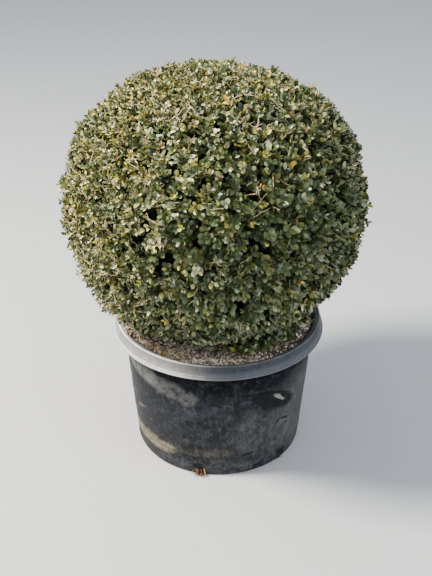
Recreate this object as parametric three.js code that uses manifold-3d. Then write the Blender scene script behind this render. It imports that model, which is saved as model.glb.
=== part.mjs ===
// Box topiary ball in its nursery pot.
// Millimetres, +Z up. The origin is in the middle of the pot's flat underside, and the front is -Y.
// Angles are in degrees, and turns round the pot are counted from the front towards +X.
import * as THREE from 'three';
import { mergeVertices } from 'three/addons/utils/BufferGeometryUtils.js';
import Module from 'manifold-3d';

const wasm = await Module();
wasm.setup();

// Driving dimensions
const RIM_RADIUS = 250;
const POT_HEIGHT = 334.5;
const SOIL_LEVEL = 318;
const BALL_WIDTH = 688;
const GAP = 0.3;

// Pot
const BASE_RADIUS = 0.81 * RIM_RADIUS;
const COLLAR_BOTTOM = POT_HEIGHT - 32.5;
const WALL_TOP_RADIUS = 0.905 * RIM_RADIUS;
const WALL = 3;
const FLOOR = 4;
const FOOT_ROUND = 6;
const FLOOR_RADIUS = BASE_RADIUS - FOOT_ROUND;
const POT_SEGMENTS = 48;
const COLLAR = { hollow: 13, roof: 5, bead: 1.6, beadHeight: 7 };
const CREST = { radius: RIM_RADIUS - 11, width: 4, round: 1.5 };
const SLOT = { count: 6, first: -13, width: 31, height: 34, depth: 22, overrun: 1 };
const DENT = { turn: 37, height: 192, length: 76, width: 25, depth: 9, slant: -26, row: 21 };
const DENT_ROWS = [-3, -2, -1, 0, 1, 2].map((row) => DENT.height + DENT.row * row);
const WALL_ROWS = [FOOT_ROUND + 2, 68, ...DENT_ROWS, COLLAR_BOTTOM - 14];

// Soil, with litter heaped up at the front left
const SOIL_TOP_EDGE = POT_HEIGHT - 20;
const SOIL_RINGS = [0.5, 0.72, 0.9];
const HEAP = { turn: -52, distance: 190, spread: 70, height: 9 };
const RIPPLE = { height: 1.6, across: 17, along: 21 };
const FOOT_PAD = { radius: 46, height: SOIL_LEVEL + 6, skirt: 3 };

// Trunk and boughs
const TRUNK = { length: 150, foot: 31, neck: 20, tip: 15, flare: 7, leanX: -12, leanY: -6 };
const TRUNK_FACETS = { sides: 12, steps: 7 };
const BOUGH = { count: 6, first: 52, base: 10, tip: 5.5, slimmer: 0.4, sag: 34, entry: 8 };
const BOUGH_FACETS = { sides: 7, steps: 6 };
const BOUGH_START = { lowest: 0.3, highest: 0.82 };
const BOUGH_LATITUDES = [-14, 12, 36, -4, 24, 50];
const GOLDEN_ANGLE = 180 * (3 - Math.sqrt(5));

// Clipped ball: how far its leaf tips reach by latitude, its core and its sprays.
// Shares are of the reach.
const BALL_CENTRE = new THREE.Vector3(-10, 0, 620);
const SHOULDER = 0.0654;
const CORNER = -0.0173;
const BALL_REACH = BALL_WIDTH / 2 / (1 + SHOULDER + CORNER);
const BALL_UNDERSIDE = 357;
const CORE = { outer: 0.89, inner: 0.64, lowest: -66, rings: 14, hollowRings: 7, segments: 28 };
const CORE_SWELL = { share: 0.018, turns: 5, rise: 60, tilt: 2, wave: 37 };
const CORE_DIMPLE = { share: 0.034, turns: 13, rise: 9, wave: 23 };
const BALL_STEM = { base: 14, tip: 9, straight: 120, entry: 0.06, sides: 8, steps: 3 };
const SPRAY = { count: 59, root: 0.78, fork: 0.83, lowest: -64, radius: 3.4, turn: 6, latitude: 4 };
const PRONG = { count: 3, spread: 0.145, tip: 0.968, shorter: 0.03, radius: 3, swing: 24 };
const LEAF_PAIR = { from: 0.5, to: 0.8, forward: 0.5, twist: 1.2, shortfall: 0.045 };
const BALL_LEAF = { length: 58, width: 38, thick: 3, cup: -3.5 };

// Low shoots between the soil and the ball
const SHOOT_TURNS = [24, 62, 110, 160, -140, -66];
const SHOOT = { height: 335, start: 26, end: 186, rise: 8, radius: 2.4, bend: 14, middle: 0.6 };
const SHOOT_FACETS = { sides: 5, steps: 4 };
const SHOOT_FORK = { count: 3, first: 0.52, last: 0.9, length: 34, radius: 1.8, turn: 48 };
const SHOOT_PAIR = { share: 0.6, turn: 62, rise: 12 };
const SHOOT_LEAF = { length: 34, width: 21, thick: 1.8, cup: 1.5 };
const SHOOT_CLEARANCE = 2;
const SHOOT_LIMIT = CREST.radius - 16;

// Leaf proportions: where it is widest, how much its tip bends, and the spread of sizes
const LEAF_FORM = { widest: 0.48, bend: 0.4, smallest: 0.82, largest: 1.12 };

const LOOKS = {
  pot: { color: 0x3a4047, roughness: 0.62, metalness: 0 },
  soil: { color: 0x4a3a2e, roughness: 0.97, metalness: 0 },
  bark: { color: 0x8a7a62, roughness: 0.88, metalness: 0 },
  ball: { color: 0x55653a, roughness: 0.6, metalness: 0 },
  shoot: { color: 0x46582f, roughness: 0.6, metalness: 0 },
};

const { degToRad, radToDeg, clamp, lerp } = THREE.MathUtils;
const UP = new THREE.Vector3(0, 0, 1);
const CYLINDER_AXIS = new THREE.Vector3(0, 1, 0);

// A seeded source of numbers between 0 and 1
function seeded(seed) {
  let state = seed >>> 0;
  return () => {
    state = (state + 0x6d2b79f5) >>> 0;
    let mixed = Math.imul(state ^ (state >>> 15), 1 | state);
    mixed = (mixed + Math.imul(mixed ^ (mixed >>> 7), 61 | mixed)) ^ mixed;
    return ((mixed ^ (mixed >>> 14)) >>> 0) / 4294967296;
  };
}

function between(random, low, high) {
  return low + (high - low) * random();
}

function solidOf(geometry) {
  const bare = geometry.clone();
  bare.deleteAttribute('normal');
  bare.deleteAttribute('uv');
  const merged = mergeVertices(bare, 1e-4);
  const vertProperties = new Float32Array(merged.attributes.position.array);
  const triVerts = new Uint32Array(merged.index.array);
  return new wasm.Manifold(new wasm.Mesh({ numProp: 3, vertProperties, triVerts }));
}

function geometryOf(solid) {
  const mesh = solid.getMesh();
  const geometry = new THREE.BufferGeometry();
  const places = Float32Array.from(mesh.vertProperties);
  geometry.setAttribute('position', new THREE.BufferAttribute(places, 3));
  geometry.setIndex(new THREE.BufferAttribute(Uint32Array.from(mesh.triVerts), 1));
  geometry.computeVertexNormals();
  return geometry;
}

// Joins many solids, two by two
function fuse(solids) {
  let layer = solids;
  while (layer.length > 1) {
    const next = [];
    for (let i = 0; i < layer.length; i += 2) {
      next.push(i + 1 < layer.length ? layer[i].add(layer[i + 1]) : layer[i]);
    }
    layer = next;
  }
  return layer[0];
}

// Drops the loose scraps of a cut or joined solid
function largestBody(solid) {
  const bodies = solid.decompose();
  return bodies.reduce((best, body) => (body.volume() > best.volume() ? body : best));
}

// A round shape about the Z axis, from a profile of [radius, height] that runs up its outside
function turned(profile, segments) {
  const points = profile.map(([radius, height]) => new THREE.Vector2(radius, height));
  return new THREE.LatheGeometry(points, segments).rotateX(Math.PI / 2);
}

// The same from a profile that runs down its outside, so that its facets lie along those of the
// hollow around it
function turnedDownwards(profile, segments) {
  const geometry = turned(profile, segments);
  const { array } = geometry.index;
  for (let i = 0; i < array.length; i += 3) {
    [array[i], array[i + 1]] = [array[i + 1], array[i]];
  }
  return geometry;
}

function moveVertices(geometry, move) {
  const places = geometry.attributes.position;
  const point = new THREE.Vector3();
  for (let i = 0; i < places.count; i += 1) {
    move(point.fromBufferAttribute(places, i));
    places.setXYZ(i, point.x, point.y, point.z);
  }
  return geometry;
}

function corners(geometry) {
  const places = geometry.attributes.position;
  return Array.from({ length: places.count }, (_, i) =>
    new THREE.Vector3().fromBufferAttribute(places, i));
}

// A direction from a turn about the Z axis and a latitude
function toward(turn, latitude) {
  const level = Math.cos(degToRad(latitude));
  const rise = Math.sin(degToRad(latitude));
  return new THREE.Vector3(level * Math.sin(degToRad(turn)), -level * Math.cos(degToRad(turn)), rise);
}

const taper = (base, tip) => (share) => lerp(base, tip, share);

// A round limb that tapers along a curve: a cylinder bent to follow it. Grown, it is larger all
// round and cuts a neighbour clear of the limb.
function limb(curve, radiusAt, { sides, steps }, grow = 0) {
  const frames = curve.computeFrenetFrames(steps, false);
  const cylinder = new THREE.CylinderGeometry(1, 1, 1, sides, steps, false);
  return moveVertices(cylinder, (point) => {
    const step = Math.round((point.y + 0.5) * steps);
    const radius = radiusAt(step / steps) + grow / Math.cos(Math.PI / sides);
    const across = point.x * radius;
    const along = -point.z * radius;
    const beyond = (step === steps ? grow : 0) - (step === 0 ? grow : 0);
    point.copy(curve.getPointAt(step / steps));
    point.addScaledVector(frames.normals[step], across);
    point.addScaledVector(frames.binormals[step], along);
    point.addScaledVector(frames.tangents[step], beyond);
  });
}

// A three-sided twig that runs out to a point
function spike(root, tip, radius) {
  const along = tip.clone().sub(root);
  const cone = new THREE.ConeGeometry(radius, along.length(), 3);
  const turn = new THREE.Quaternion().setFromUnitVectors(CYLINDER_AXIS, along.normalize());
  const middle = root.clone().lerp(tip, 0.5);
  return cone.applyQuaternion(turn).translate(middle.x, middle.y, middle.z);
}

// A pointed leaf of eight faces that runs from its root along an axis and faces a given way
function leaf(root, axis, facing, size) {
  const side = new THREE.Vector3().crossVectors(facing, axis).normalize();
  const normal = new THREE.Vector3().crossVectors(axis, side).normalize();
  const frame = new THREE.Matrix4().makeBasis(axis, side, normal).setPosition(root);
  const shape = moveVertices(new THREE.OctahedronGeometry(1), (point) => {
    const along = point.x === 0 ? LEAF_FORM.widest : (point.x + 1) / 2;
    const raised = Math.abs(point.y) + (point.x > 0 ? LEAF_FORM.bend : 0);
    const height = (point.z * size.thick) / 2 + raised * size.cup;
    point.set(along * size.length, (point.y * size.width) / 2, height);
  });
  return shape.applyMatrix4(frame);
}

// A leaf's size, drawn a little smaller or larger than its kind
function drawn(kind, random) {
  const scale = between(random, LEAF_FORM.smallest, LEAF_FORM.largest);
  return { ...kind, length: kind.length * scale, width: kind.width * scale };
}

const wallRadius = (height) => lerp(BASE_RADIUS, WALL_TOP_RADIUS, height / COLLAR_BOTTOM);

// Pushes a point of the wall, or of the soil behind it, in by the long dent
function dented(point) {
  const radius = Math.hypot(point.x, point.y);
  if (radius < BASE_RADIUS / 2 || point.z > COLLAR_BOTTOM) {
    return;
  }
  const turn = Math.atan2(point.x, -point.y) - degToRad(DENT.turn);
  const across = turn * wallRadius(DENT.height);
  const rise = point.z - DENT.height;
  const slant = degToRad(DENT.slant);
  const along = (across * Math.cos(slant) + rise * Math.sin(slant)) / DENT.length;
  const aside = (rise * Math.cos(slant) - across * Math.sin(slant)) / DENT.width;
  const push = DENT.depth * Math.max(0, 1 - along * along - aside * aside);
  point.x *= 1 - push / radius;
  point.y *= 1 - push / radius;
}

function makePot() {
  const underCollar = POT_HEIGHT - COLLAR.hollow;
  const profile = [
    [0, 0],
    [FLOOR_RADIUS, 0],
    ...WALL_ROWS.map((height) => [wallRadius(height), height]),
    [wallRadius(underCollar), underCollar],
    [CREST.radius - CREST.width / 2, POT_HEIGHT - COLLAR.roof],
    [RIM_RADIUS - WALL, COLLAR_BOTTOM],
    [RIM_RADIUS - COLLAR.bead, COLLAR_BOTTOM],
    [RIM_RADIUS, COLLAR_BOTTOM + COLLAR.beadHeight / 2],
    [RIM_RADIUS - COLLAR.bead, COLLAR_BOTTOM + COLLAR.beadHeight],
    [CREST.radius + CREST.width / 2, POT_HEIGHT - CREST.round],
    [CREST.radius, POT_HEIGHT],
    [CREST.radius - CREST.width, POT_HEIGHT - CREST.round / 2],
    [wallRadius(underCollar) - WALL, underCollar],
    ...WALL_ROWS.toReversed().map((height) => [wallRadius(height) - WALL, height]),
    [FLOOR_RADIUS, FLOOR],
    [0, FLOOR],
  ];
  let pot = solidOf(moveVertices(turned(profile, POT_SEGMENTS), dented));
  for (let i = 0; i < SLOT.count; i += 1) {
    const slot = new THREE.BoxGeometry(SLOT.width, SLOT.depth, SLOT.height + SLOT.overrun);
    slot.translate(0, -BASE_RADIUS, (SLOT.height - SLOT.overrun) / 2);
    slot.rotateZ(degToRad(SLOT.first + (360 / SLOT.count) * i));
    pot = pot.subtract(solidOf(slot));
  }
  return geometryOf(pot);
}

function soilHeight(x, y) {
  const heap = toward(HEAP.turn, 0).multiplyScalar(HEAP.distance);
  const fromHeap = Math.hypot(x - heap.x, y - heap.y) / HEAP.spread;
  const litter = HEAP.height * Math.exp(-fromHeap * fromHeap);
  const ripple = RIPPLE.height * Math.sin(x / RIPPLE.across) * Math.cos(y / RIPPLE.along);
  const fromPad = Math.hypot(x, y) / FOOT_PAD.radius - 1;
  const mound = (FOOT_PAD.height - SOIL_LEVEL) * clamp(1 - fromPad / FOOT_PAD.skirt, 0, 1);
  return SOIL_LEVEL + mound + litter + ripple;
}

function makeSoil() {
  const radiusAt = (height) => wallRadius(height) - WALL - GAP;
  const rows = [SOIL_TOP_EDGE, ...WALL_ROWS.toReversed()];
  const profile = [
    [0, FOOT_PAD.height],
    [FOOT_PAD.radius, FOOT_PAD.height],
    ...SOIL_RINGS.map((share) => [share * radiusAt(SOIL_TOP_EDGE), SOIL_LEVEL]),
    ...rows.map((height) => [radiusAt(height), height]),
    [FLOOR_RADIUS - GAP, FLOOR + GAP],
    [0, FLOOR + GAP],
  ];
  const soil = moveVertices(turnedDownwards(profile, POT_SEGMENTS), (point) => {
    const onPad = Math.hypot(point.x, point.y) < FOOT_PAD.radius + 1;
    if (point.z > SOIL_TOP_EDGE && !onPad) {
      point.z = soilHeight(point.x, point.y);
    }
    dented(point);
  });
  return geometryOf(solidOf(soil));
}

const FOOT = new THREE.Vector3(0, 0, FOOT_PAD.height + GAP);
const TRUNK_TOP = FOOT.clone().add(new THREE.Vector3(TRUNK.leanX, TRUNK.leanY, TRUNK.length));
const TRUNK_CURVE = new THREE.QuadraticBezierCurve3(
  FOOT,
  FOOT.clone().addScaledVector(UP, TRUNK.length / 2),
  TRUNK_TOP,
);

function trunkRadius(share) {
  const flare = (TRUNK.foot - TRUNK.neck) * Math.exp(-share * TRUNK.flare);
  return flare + lerp(TRUNK.neck, TRUNK.tip, share);
}

function trunkShape(grow) {
  return solidOf(limb(TRUNK_CURVE, trunkRadius, TRUNK_FACETS, grow));
}

// How far the ball's leaf tips reach from its centre in a direction
function ballReach(direction) {
  const latitude = Math.asin(clamp(direction.z, -1, 1));
  return BALL_REACH * (1 + SHOULDER * Math.cos(2 * latitude) + CORNER * Math.cos(4 * latitude));
}

function ballPoint(direction, share) {
  return BALL_CENTRE.clone().addScaledVector(direction, ballReach(direction) * share);
}

// How much further out than the ball's surface a point lies
function beyondBall(point) {
  const offset = point.clone().sub(BALL_CENTRE);
  return offset.length() - ballReach(offset.clone().normalize());
}

const inBall = (point) => beyondBall(point) < 0 && point.z > BALL_UNDERSIDE;

// Each bough leaves the trunk higher than the last, turned by the golden angle, and ends where it
// enters the ball's core
function boughCurve(index) {
  const turn = BOUGH.first + GOLDEN_ANGLE * index;
  const share = lerp(BOUGH_START.lowest, BOUGH_START.highest, index / (BOUGH.count - 1));
  const start = TRUNK_CURVE.getPointAt(share);
  const outward = toward(turn, BOUGH_LATITUDES[index]);
  const end = ballPoint(outward, CORE.inner).addScaledVector(outward, BOUGH.entry);
  const middle = start.clone().lerp(end, 0.5).addScaledVector(toward(turn, -30), BOUGH.sag);
  return new THREE.QuadraticBezierCurve3(start, middle, end);
}

function boughShape(index, grow) {
  const radii = taper(BOUGH.base - BOUGH.slimmer * index, BOUGH.tip);
  return solidOf(limb(boughCurve(index), radii, BOUGH_FACETS, grow));
}

function makeBough(index) {
  return geometryOf(largestBody(boughShape(index, 0).subtract(trunkShape(GAP))));
}

// The lumpy core of the ball, hollow and open beneath, where the trunk and the boughs stand
function ballCore() {
  const arc = (share, from, to, count) => Array.from({ length: count }, (_, i) => {
    const direction = toward(0, lerp(from, to, i / (count - 1)));
    const reach = ballReach(direction) * share;
    return [Math.max(0, -direction.y * reach), direction.z * reach];
  });
  const hollow = arc(CORE.inner, 90, CORE.lowest, CORE.hollowRings);
  const outside = arc(CORE.outer, CORE.lowest, 90, CORE.rings);
  hollow[0][0] = 0;
  outside.at(-1)[0] = 0;
  const core = turned([...hollow, ...outside], CORE.segments);
  return solidOf(moveVertices(core, (point) => {
    const turn = Math.atan2(point.x, -point.y);
    const fromAxis = Math.min(1, (2 * Math.hypot(point.x, point.y)) / BALL_REACH);
    const swell = CORE_SWELL.share
      * Math.sin(CORE_SWELL.turns * turn + point.z / CORE_SWELL.rise)
      * Math.cos(CORE_SWELL.tilt * turn + point.z / CORE_SWELL.wave);
    const dimple = CORE_DIMPLE.share
      * Math.sin(CORE_DIMPLE.turns * turn + point.z / CORE_DIMPLE.rise)
      * Math.sin(point.z / CORE_DIMPLE.wave);
    point.multiplyScalar(1 + fromAxis * (swell + dimple)).add(BALL_CENTRE);
  }));
}

// The ball's own stem, from the tip of the trunk up into the core
function ballStem() {
  const along = TRUNK_CURVE.getTangentAt(1);
  const start = TRUNK_TOP.clone().addScaledVector(along, GAP);
  const bend = start.clone().addScaledVector(along, BALL_STEM.straight);
  const end = ballPoint(UP, CORE.inner + BALL_STEM.entry);
  const curve = new THREE.QuadraticBezierCurve3(start, bend, end);
  return solidOf(limb(curve, taper(BALL_STEM.base, BALL_STEM.tip), BALL_STEM));
}

// Directions spread evenly over the ball by the golden angle, down to a lowest latitude
function sprayDirections(random) {
  const bottom = Math.sin(degToRad(SPRAY.lowest));
  return Array.from({ length: SPRAY.count }, (_, i) => {
    const height = 1 - ((1 - bottom) * (i + 0.5)) / SPRAY.count;
    const latitude = radToDeg(Math.asin(height)) + SPRAY.latitude * (random() - 0.5);
    return toward(GOLDEN_ANGLE * i + SPRAY.turn * (random() - 0.5), latitude);
  });
}

// The axis of a leaf that heads a level way round the ball and rises until its tip comes to a
// share of the ball's reach
function axisToReach(root, level, length, share) {
  const outward = root.clone().sub(BALL_CENTRE);
  const from = outward.length();
  outward.normalize();
  const to = ballReach(outward) * share;
  const rise = (to * to - from * from - length * length) / (2 * from * length);
  const climb = clamp(rise, -0.2, 0.8);
  const flat = level.clone().addScaledVector(outward, -level.dot(outward)).normalize();
  return flat.multiplyScalar(Math.sqrt(1 - climb * climb)).addScaledVector(outward, climb);
}

// A prong of a spray: a twig to a point with a pair of leaves, one to each side
function ballProng(fork, direction, spread, random) {
  const outward = direction.clone().addScaledVector(spread, PRONG.spread * between(random, 0.8, 1.2));
  const tip = ballPoint(outward.normalize(), PRONG.tip - PRONG.shorter * random());
  const along = tip.clone().sub(fork).normalize();
  const across = new THREE.Vector3().crossVectors(along, outward).normalize();
  const leafy = fork.clone().lerp(tip, between(random, LEAF_PAIR.from, LEAF_PAIR.to));
  const twist = LEAF_PAIR.twist * (random() - 0.5);
  const leaves = [-1, 1].map((hand) => {
    const forward = LEAF_PAIR.forward + twist * hand;
    const level = across.clone().multiplyScalar(hand).addScaledVector(spread, forward);
    const size = drawn(BALL_LEAF, random);
    const share = 1 - LEAF_PAIR.shortfall * random();
    return leaf(leafy, axisToReach(leafy, level, size.length, share), outward, size);
  });
  return { twig: spike(fork, tip, PRONG.radius), leaves };
}

// A spray of the ball: a twig that forks into prongs inside the core, so that they stand out of
// it. What would leave the ball's space is skipped.
function ballSpray(direction, random) {
  const root = ballPoint(direction, SPRAY.root);
  const fork = ballPoint(direction, SPRAY.fork);
  const aside = new THREE.Vector3().crossVectors(direction, UP).normalize();
  const spin = random() * (360 / PRONG.count);
  const pieces = [spike(root, ballPoint(direction, SPRAY.fork + 0.04), SPRAY.radius)];
  for (let i = 0; i < PRONG.count; i += 1) {
    const turn = spin + (360 / PRONG.count) * i + PRONG.swing * (random() - 0.5);
    const spread = aside.clone().applyAxisAngle(direction, degToRad(turn));
    const { twig, leaves } = ballProng(fork, direction, spread, random);
    if (corners(twig).every(inBall)) {
      pieces.push(twig, ...leaves.filter((piece) => corners(piece).every(inBall)));
    }
  }
  return pieces.map(solidOf);
}

function makeBall() {
  const random = seeded(20260);
  let core = ballCore().add(ballStem());
  for (let i = 0; i < BOUGH.count; i += 1) {
    core = core.subtract(boughShape(i, GAP));
  }
  const sprays = sprayDirections(random).flatMap((direction) => ballSpray(direction, random));
  return geometryOf(largestBody(fuse([core, ...sprays])));
}

// A shoot keeps below the ball's underside or else outside its surface, and inside the rim
function inShootSpace(piece) {
  const points = corners(piece);
  const below = points.every((point) => point.z < BALL_UNDERSIDE - SHOOT_CLEARANCE);
  const outside = points.every((point) => beyondBall(point) > SHOOT_CLEARANCE);
  const inRim = points.every((point) => Math.hypot(point.x, point.y) < SHOOT_LIMIT);
  return inRim && (below || outside);
}

// A fork of a low shoot: a twig with a pair of leaves and a leaf at its tip
function shootFork(root, turn, random) {
  const heading = toward(turn, between(random, 2, 10));
  const length = SHOOT_FORK.length * between(random, 0.8, 1.2);
  const tip = root.clone().addScaledVector(heading, length);
  const pair = [-1, 1].map((hand) => {
    const axis = toward(turn + SHOOT_PAIR.turn * hand, 2 + SHOOT_PAIR.rise * random());
    return leaf(root.clone().lerp(tip, SHOOT_PAIR.share), axis, UP, drawn(SHOOT_LEAF, random));
  });
  const last = leaf(root.clone().lerp(tip, 0.9), heading, UP, drawn(SHOOT_LEAF, random));
  return [spike(root, tip, SHOOT_FORK.radius), ...pair, last];
}

// A low shoot: a thin stem from the trunk's foot out over the soil, which forks to both sides by
// turns
function makeShoot(turn, index) {
  const random = seeded(700 + index);
  const outward = toward(turn, 0);
  const start = outward.clone().multiplyScalar(SHOOT.start).setZ(SHOOT.height);
  const end = outward.clone().multiplyScalar(SHOOT.end).setZ(SHOOT.height + SHOOT.rise);
  const bend = toward(turn + 90, 0).multiplyScalar(SHOOT.bend * (random() - 0.5));
  const middle = start.clone().lerp(end, SHOOT.middle).setZ(SHOOT.height).add(bend);
  const curve = new THREE.QuadraticBezierCurve3(start, middle, end);
  const stem = limb(curve, taper(SHOOT.radius, SHOOT.radius / 2), SHOOT_FACETS);
  const forks = [];
  for (let i = 0; i < SHOOT_FORK.count; i += 1) {
    const share = lerp(SHOOT_FORK.first, SHOOT_FORK.last, i / (SHOOT_FORK.count - 1));
    const hand = i % 2 === 0 ? 1 : -1;
    const side = SHOOT_FORK.turn * hand * between(random, 0.8, 1.2);
    forks.push(...shootFork(curve.getPointAt(share), turn + side, random));
  }
  const shoot = fuse([stem, ...forks.filter(inShootSpace)].map(solidOf));
  return geometryOf(largestBody(shoot.subtract(trunkShape(GAP))));
}

const plant = new THREE.Group();

function addNode(name, geometry, look) {
  const mesh = new THREE.Mesh(geometry, new THREE.MeshStandardMaterial(look));
  mesh.name = name;
  plant.add(mesh);
}

addNode('pot', makePot(), LOOKS.pot);
addNode('potting_soil', makeSoil(), LOOKS.soil);
addNode('trunk', geometryOf(trunkShape(0)), LOOKS.bark);
for (let i = 0; i < BOUGH.count; i += 1) {
  addNode(`bough_${i + 1}`, makeBough(i), LOOKS.bark);
}
addNode('foliage_ball', makeBall(), LOOKS.ball);
SHOOT_TURNS.forEach((turn, index) => {
  addNode(`low_shoot_${index + 1}`, makeShoot(turn, index), LOOKS.shoot);
});

export default plant;
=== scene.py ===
import math
from functools import reduce
from types import SimpleNamespace

import bpy
import numpy as np
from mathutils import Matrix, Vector


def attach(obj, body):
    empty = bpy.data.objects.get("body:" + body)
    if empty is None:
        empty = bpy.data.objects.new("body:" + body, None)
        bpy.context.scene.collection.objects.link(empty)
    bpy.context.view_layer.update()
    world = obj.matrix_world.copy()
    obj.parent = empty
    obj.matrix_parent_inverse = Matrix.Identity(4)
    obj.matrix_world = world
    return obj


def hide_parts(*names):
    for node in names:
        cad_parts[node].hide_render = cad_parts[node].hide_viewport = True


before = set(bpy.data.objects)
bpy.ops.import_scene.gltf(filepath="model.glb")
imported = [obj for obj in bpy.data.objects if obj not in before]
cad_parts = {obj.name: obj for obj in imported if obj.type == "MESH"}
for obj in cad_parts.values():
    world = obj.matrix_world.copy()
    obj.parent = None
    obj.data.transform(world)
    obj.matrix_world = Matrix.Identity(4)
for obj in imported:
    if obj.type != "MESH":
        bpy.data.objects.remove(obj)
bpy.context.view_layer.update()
BODY = "root"
UP = np.array([0.0, 0.0, 1.0])

# Driving dimensions, as in the part's source
RIM_RADIUS = 0.250
POT_HEIGHT = 0.3345
SOIL_LEVEL = 0.318
BALL_WIDTH = 0.688
BASE_RADIUS = 0.81 * RIM_RADIUS
COLLAR_BOTTOM = POT_HEIGHT - 0.0325
WALL_TOP_RADIUS = 0.905 * RIM_RADIUS
WALL = 0.003
CREST_RADIUS = RIM_RADIUS - 0.011
GOLDEN_ANGLE = 180 * (3 - math.sqrt(5))

# Seeds of the random draws, and how many sides the round twigs have
SEEDS = SimpleNamespace(foliage=20260, litter=808, roots=61)
SIDES = SimpleNamespace(trunk=40, bough=18, branch=7, low_shoot=6, side_shoot=5, root=5, twig=4, tip=3)

# The clipped ball: its centre, its reach by latitude, and the level that it stays above
BALL_CENTRE = np.array([-0.010, 0.0, 0.620])
SHOULDER, CORNER = 0.0654, -0.0173
BALL_REACH = BALL_WIDTH / 2 / (1 + SHOULDER + CORNER)
BALL_UNDERSIDE = 0.357
SKIRT = ((-48, 24, 0.015), (28, 24, 0.013))
CORE_INNER = 0.64

# Where the sprays are paler, as heading, share and edge: on the top towards the light, low on the
# left, and a little on the right; partly leaves bronzed by the sun, partly painted light. Low at the
# front right they are darker, as painted shade.
PALE = 0.10
SUNNY = (
    ((-0.45, 0.10, 0.90), 0.95, 1.7),
    ((-0.85, -0.43, -0.23), 0.84, 2.8),
    ((0.92, -0.10, 0.25), 0.14, 1.2),
    ((0.45, -0.60, -0.65), -0.22, 1.0),
)


def srgb(red, green, blue):
    """A colour on the usual 0 to 255 scale, as the renderer's linear one."""
    parts = [value / 255 for value in (red, green, blue)]
    return tuple(p / 12.92 if p < 0.04045 else ((p + 0.055) / 1.055) ** 2.4 for p in parts) + (1.0,)


def unit(vectors):
    return vectors / np.maximum(np.linalg.norm(vectors, axis=-1, keepdims=True), 1e-12)


def toward(turn, latitude):
    turn, latitude = np.radians(turn), np.radians(latitude)
    level = np.cos(latitude)
    parts = (level * np.sin(turn), -level * np.cos(turn), np.sin(latitude) + 0 * turn)
    return np.stack(parts, axis=-1)


def smooth(value, low, high):
    share = np.clip((value - low) / (high - low), 0, 1)
    return share * share * (3 - 2 * share)


def lerp(low, high, share):
    return low + (high - low) * share


def wall_radius(height):
    return lerp(BASE_RADIUS, WALL_TOP_RADIUS, height / COLLAR_BOTTOM)


def waves(points, length, seed, count=7):
    """Soft lumps between -1 and 1 over any points: a few plane waves of about one length."""
    random = np.random.RandomState(seed)
    total = np.zeros(points.shape[:-1])
    for heading in unit(random.normal(size=(count, 3))):
        pitch = 2 * math.pi / (length * random.uniform(0.75, 1.35))
        total += np.sin(points @ heading * pitch + random.uniform(0, 2 * math.pi))
    return total / math.sqrt(count) * 0.8


def layered(points, layers):
    """Layers of waves, each as its depth, length and seed, and how many waves."""
    return sum(depth * waves(points, *how) for depth, *how in layers)


# The pot's wear: the long dent and the fold in it, with half sizes
DENT = {"turn": 37.5, "height": 0.198, "length": 0.076, "width": 0.027, "slant": -25}
DENT_DEPTH = 0.014
FACET = {"turn": 43.0, "height": 0.1920, "length": 0.027, "width": 0.0078, "slant": -36}
FACET_RISE = 0.006
WALL_WAVES = ((0.0007, 0.16, 3), (0.00025, 0.05, 4))
# Small dents: turn, height, half length, half width, depth, slant
SMALL_DENTS = (
    (46.7, 0.1296, 0.020, 0.004, 0.0022, -21),
    (40.9, 0.1266, 0.014, 0.004, 0.0026, 54),
    (-1.3, 0.2145, 0.026, 0.006, 0.0022, -22),
    (-7.5, 0.1507, 0.018, 0.004, 0.0016, -3),
    (20, 0.205, 0.034, 0.010, 0.0018, -12),
    (-120, 0.150, 0.060, 0.030, 0.0040, 20),
    (150, 0.090, 0.050, 0.018, 0.0030, -30),
)
# Scratches: turn, height, half length, half width, slant
DARK_SCRATCHES = (
    (-1.3, 0.2145, 0.022, 0.0046, -22),
    (-12, 0.205, 0.012, 0.0026, -14),
    (-7.5, 0.1507, 0.014, 0.0024, -3),
    (46.9, 0.1280, 0.024, 0.0030, -20),
    (40.5, 0.1259, 0.016, 0.0036, 45),
    (48.6, 0.1125, 0.012, 0.0020, -18),
    (45.3, 0.1115, 0.009, 0.0022, 45),
    (26.5, 0.1500, 0.012, 0.0018, -36),
    (18, 0.236, 0.024, 0.0050, -12),
    (19, 0.058, 0.022, 0.0060, 6),
    (-22, 0.110, 0.010, 0.0060, 60),
)
PALE_SCRATCHES = (
    (-58.3, 0.1410, 0.021, 0.0040, 10),
    (-49, 0.118, 0.009, 0.0014, -18),
    (52, 0.100, 0.020, 0.0020, 24),
    (47.5, 0.1180, 0.018, 0.0016, -20),
    (-61, 0.1330, 0.016, 0.0022, -12),
)
SCRATCH_PAINT = ((DARK_SCRATCHES, 0.88, (11, 12, 14)), (PALE_SCRATCHES, 0.55, (112, 112, 108)))


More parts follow.
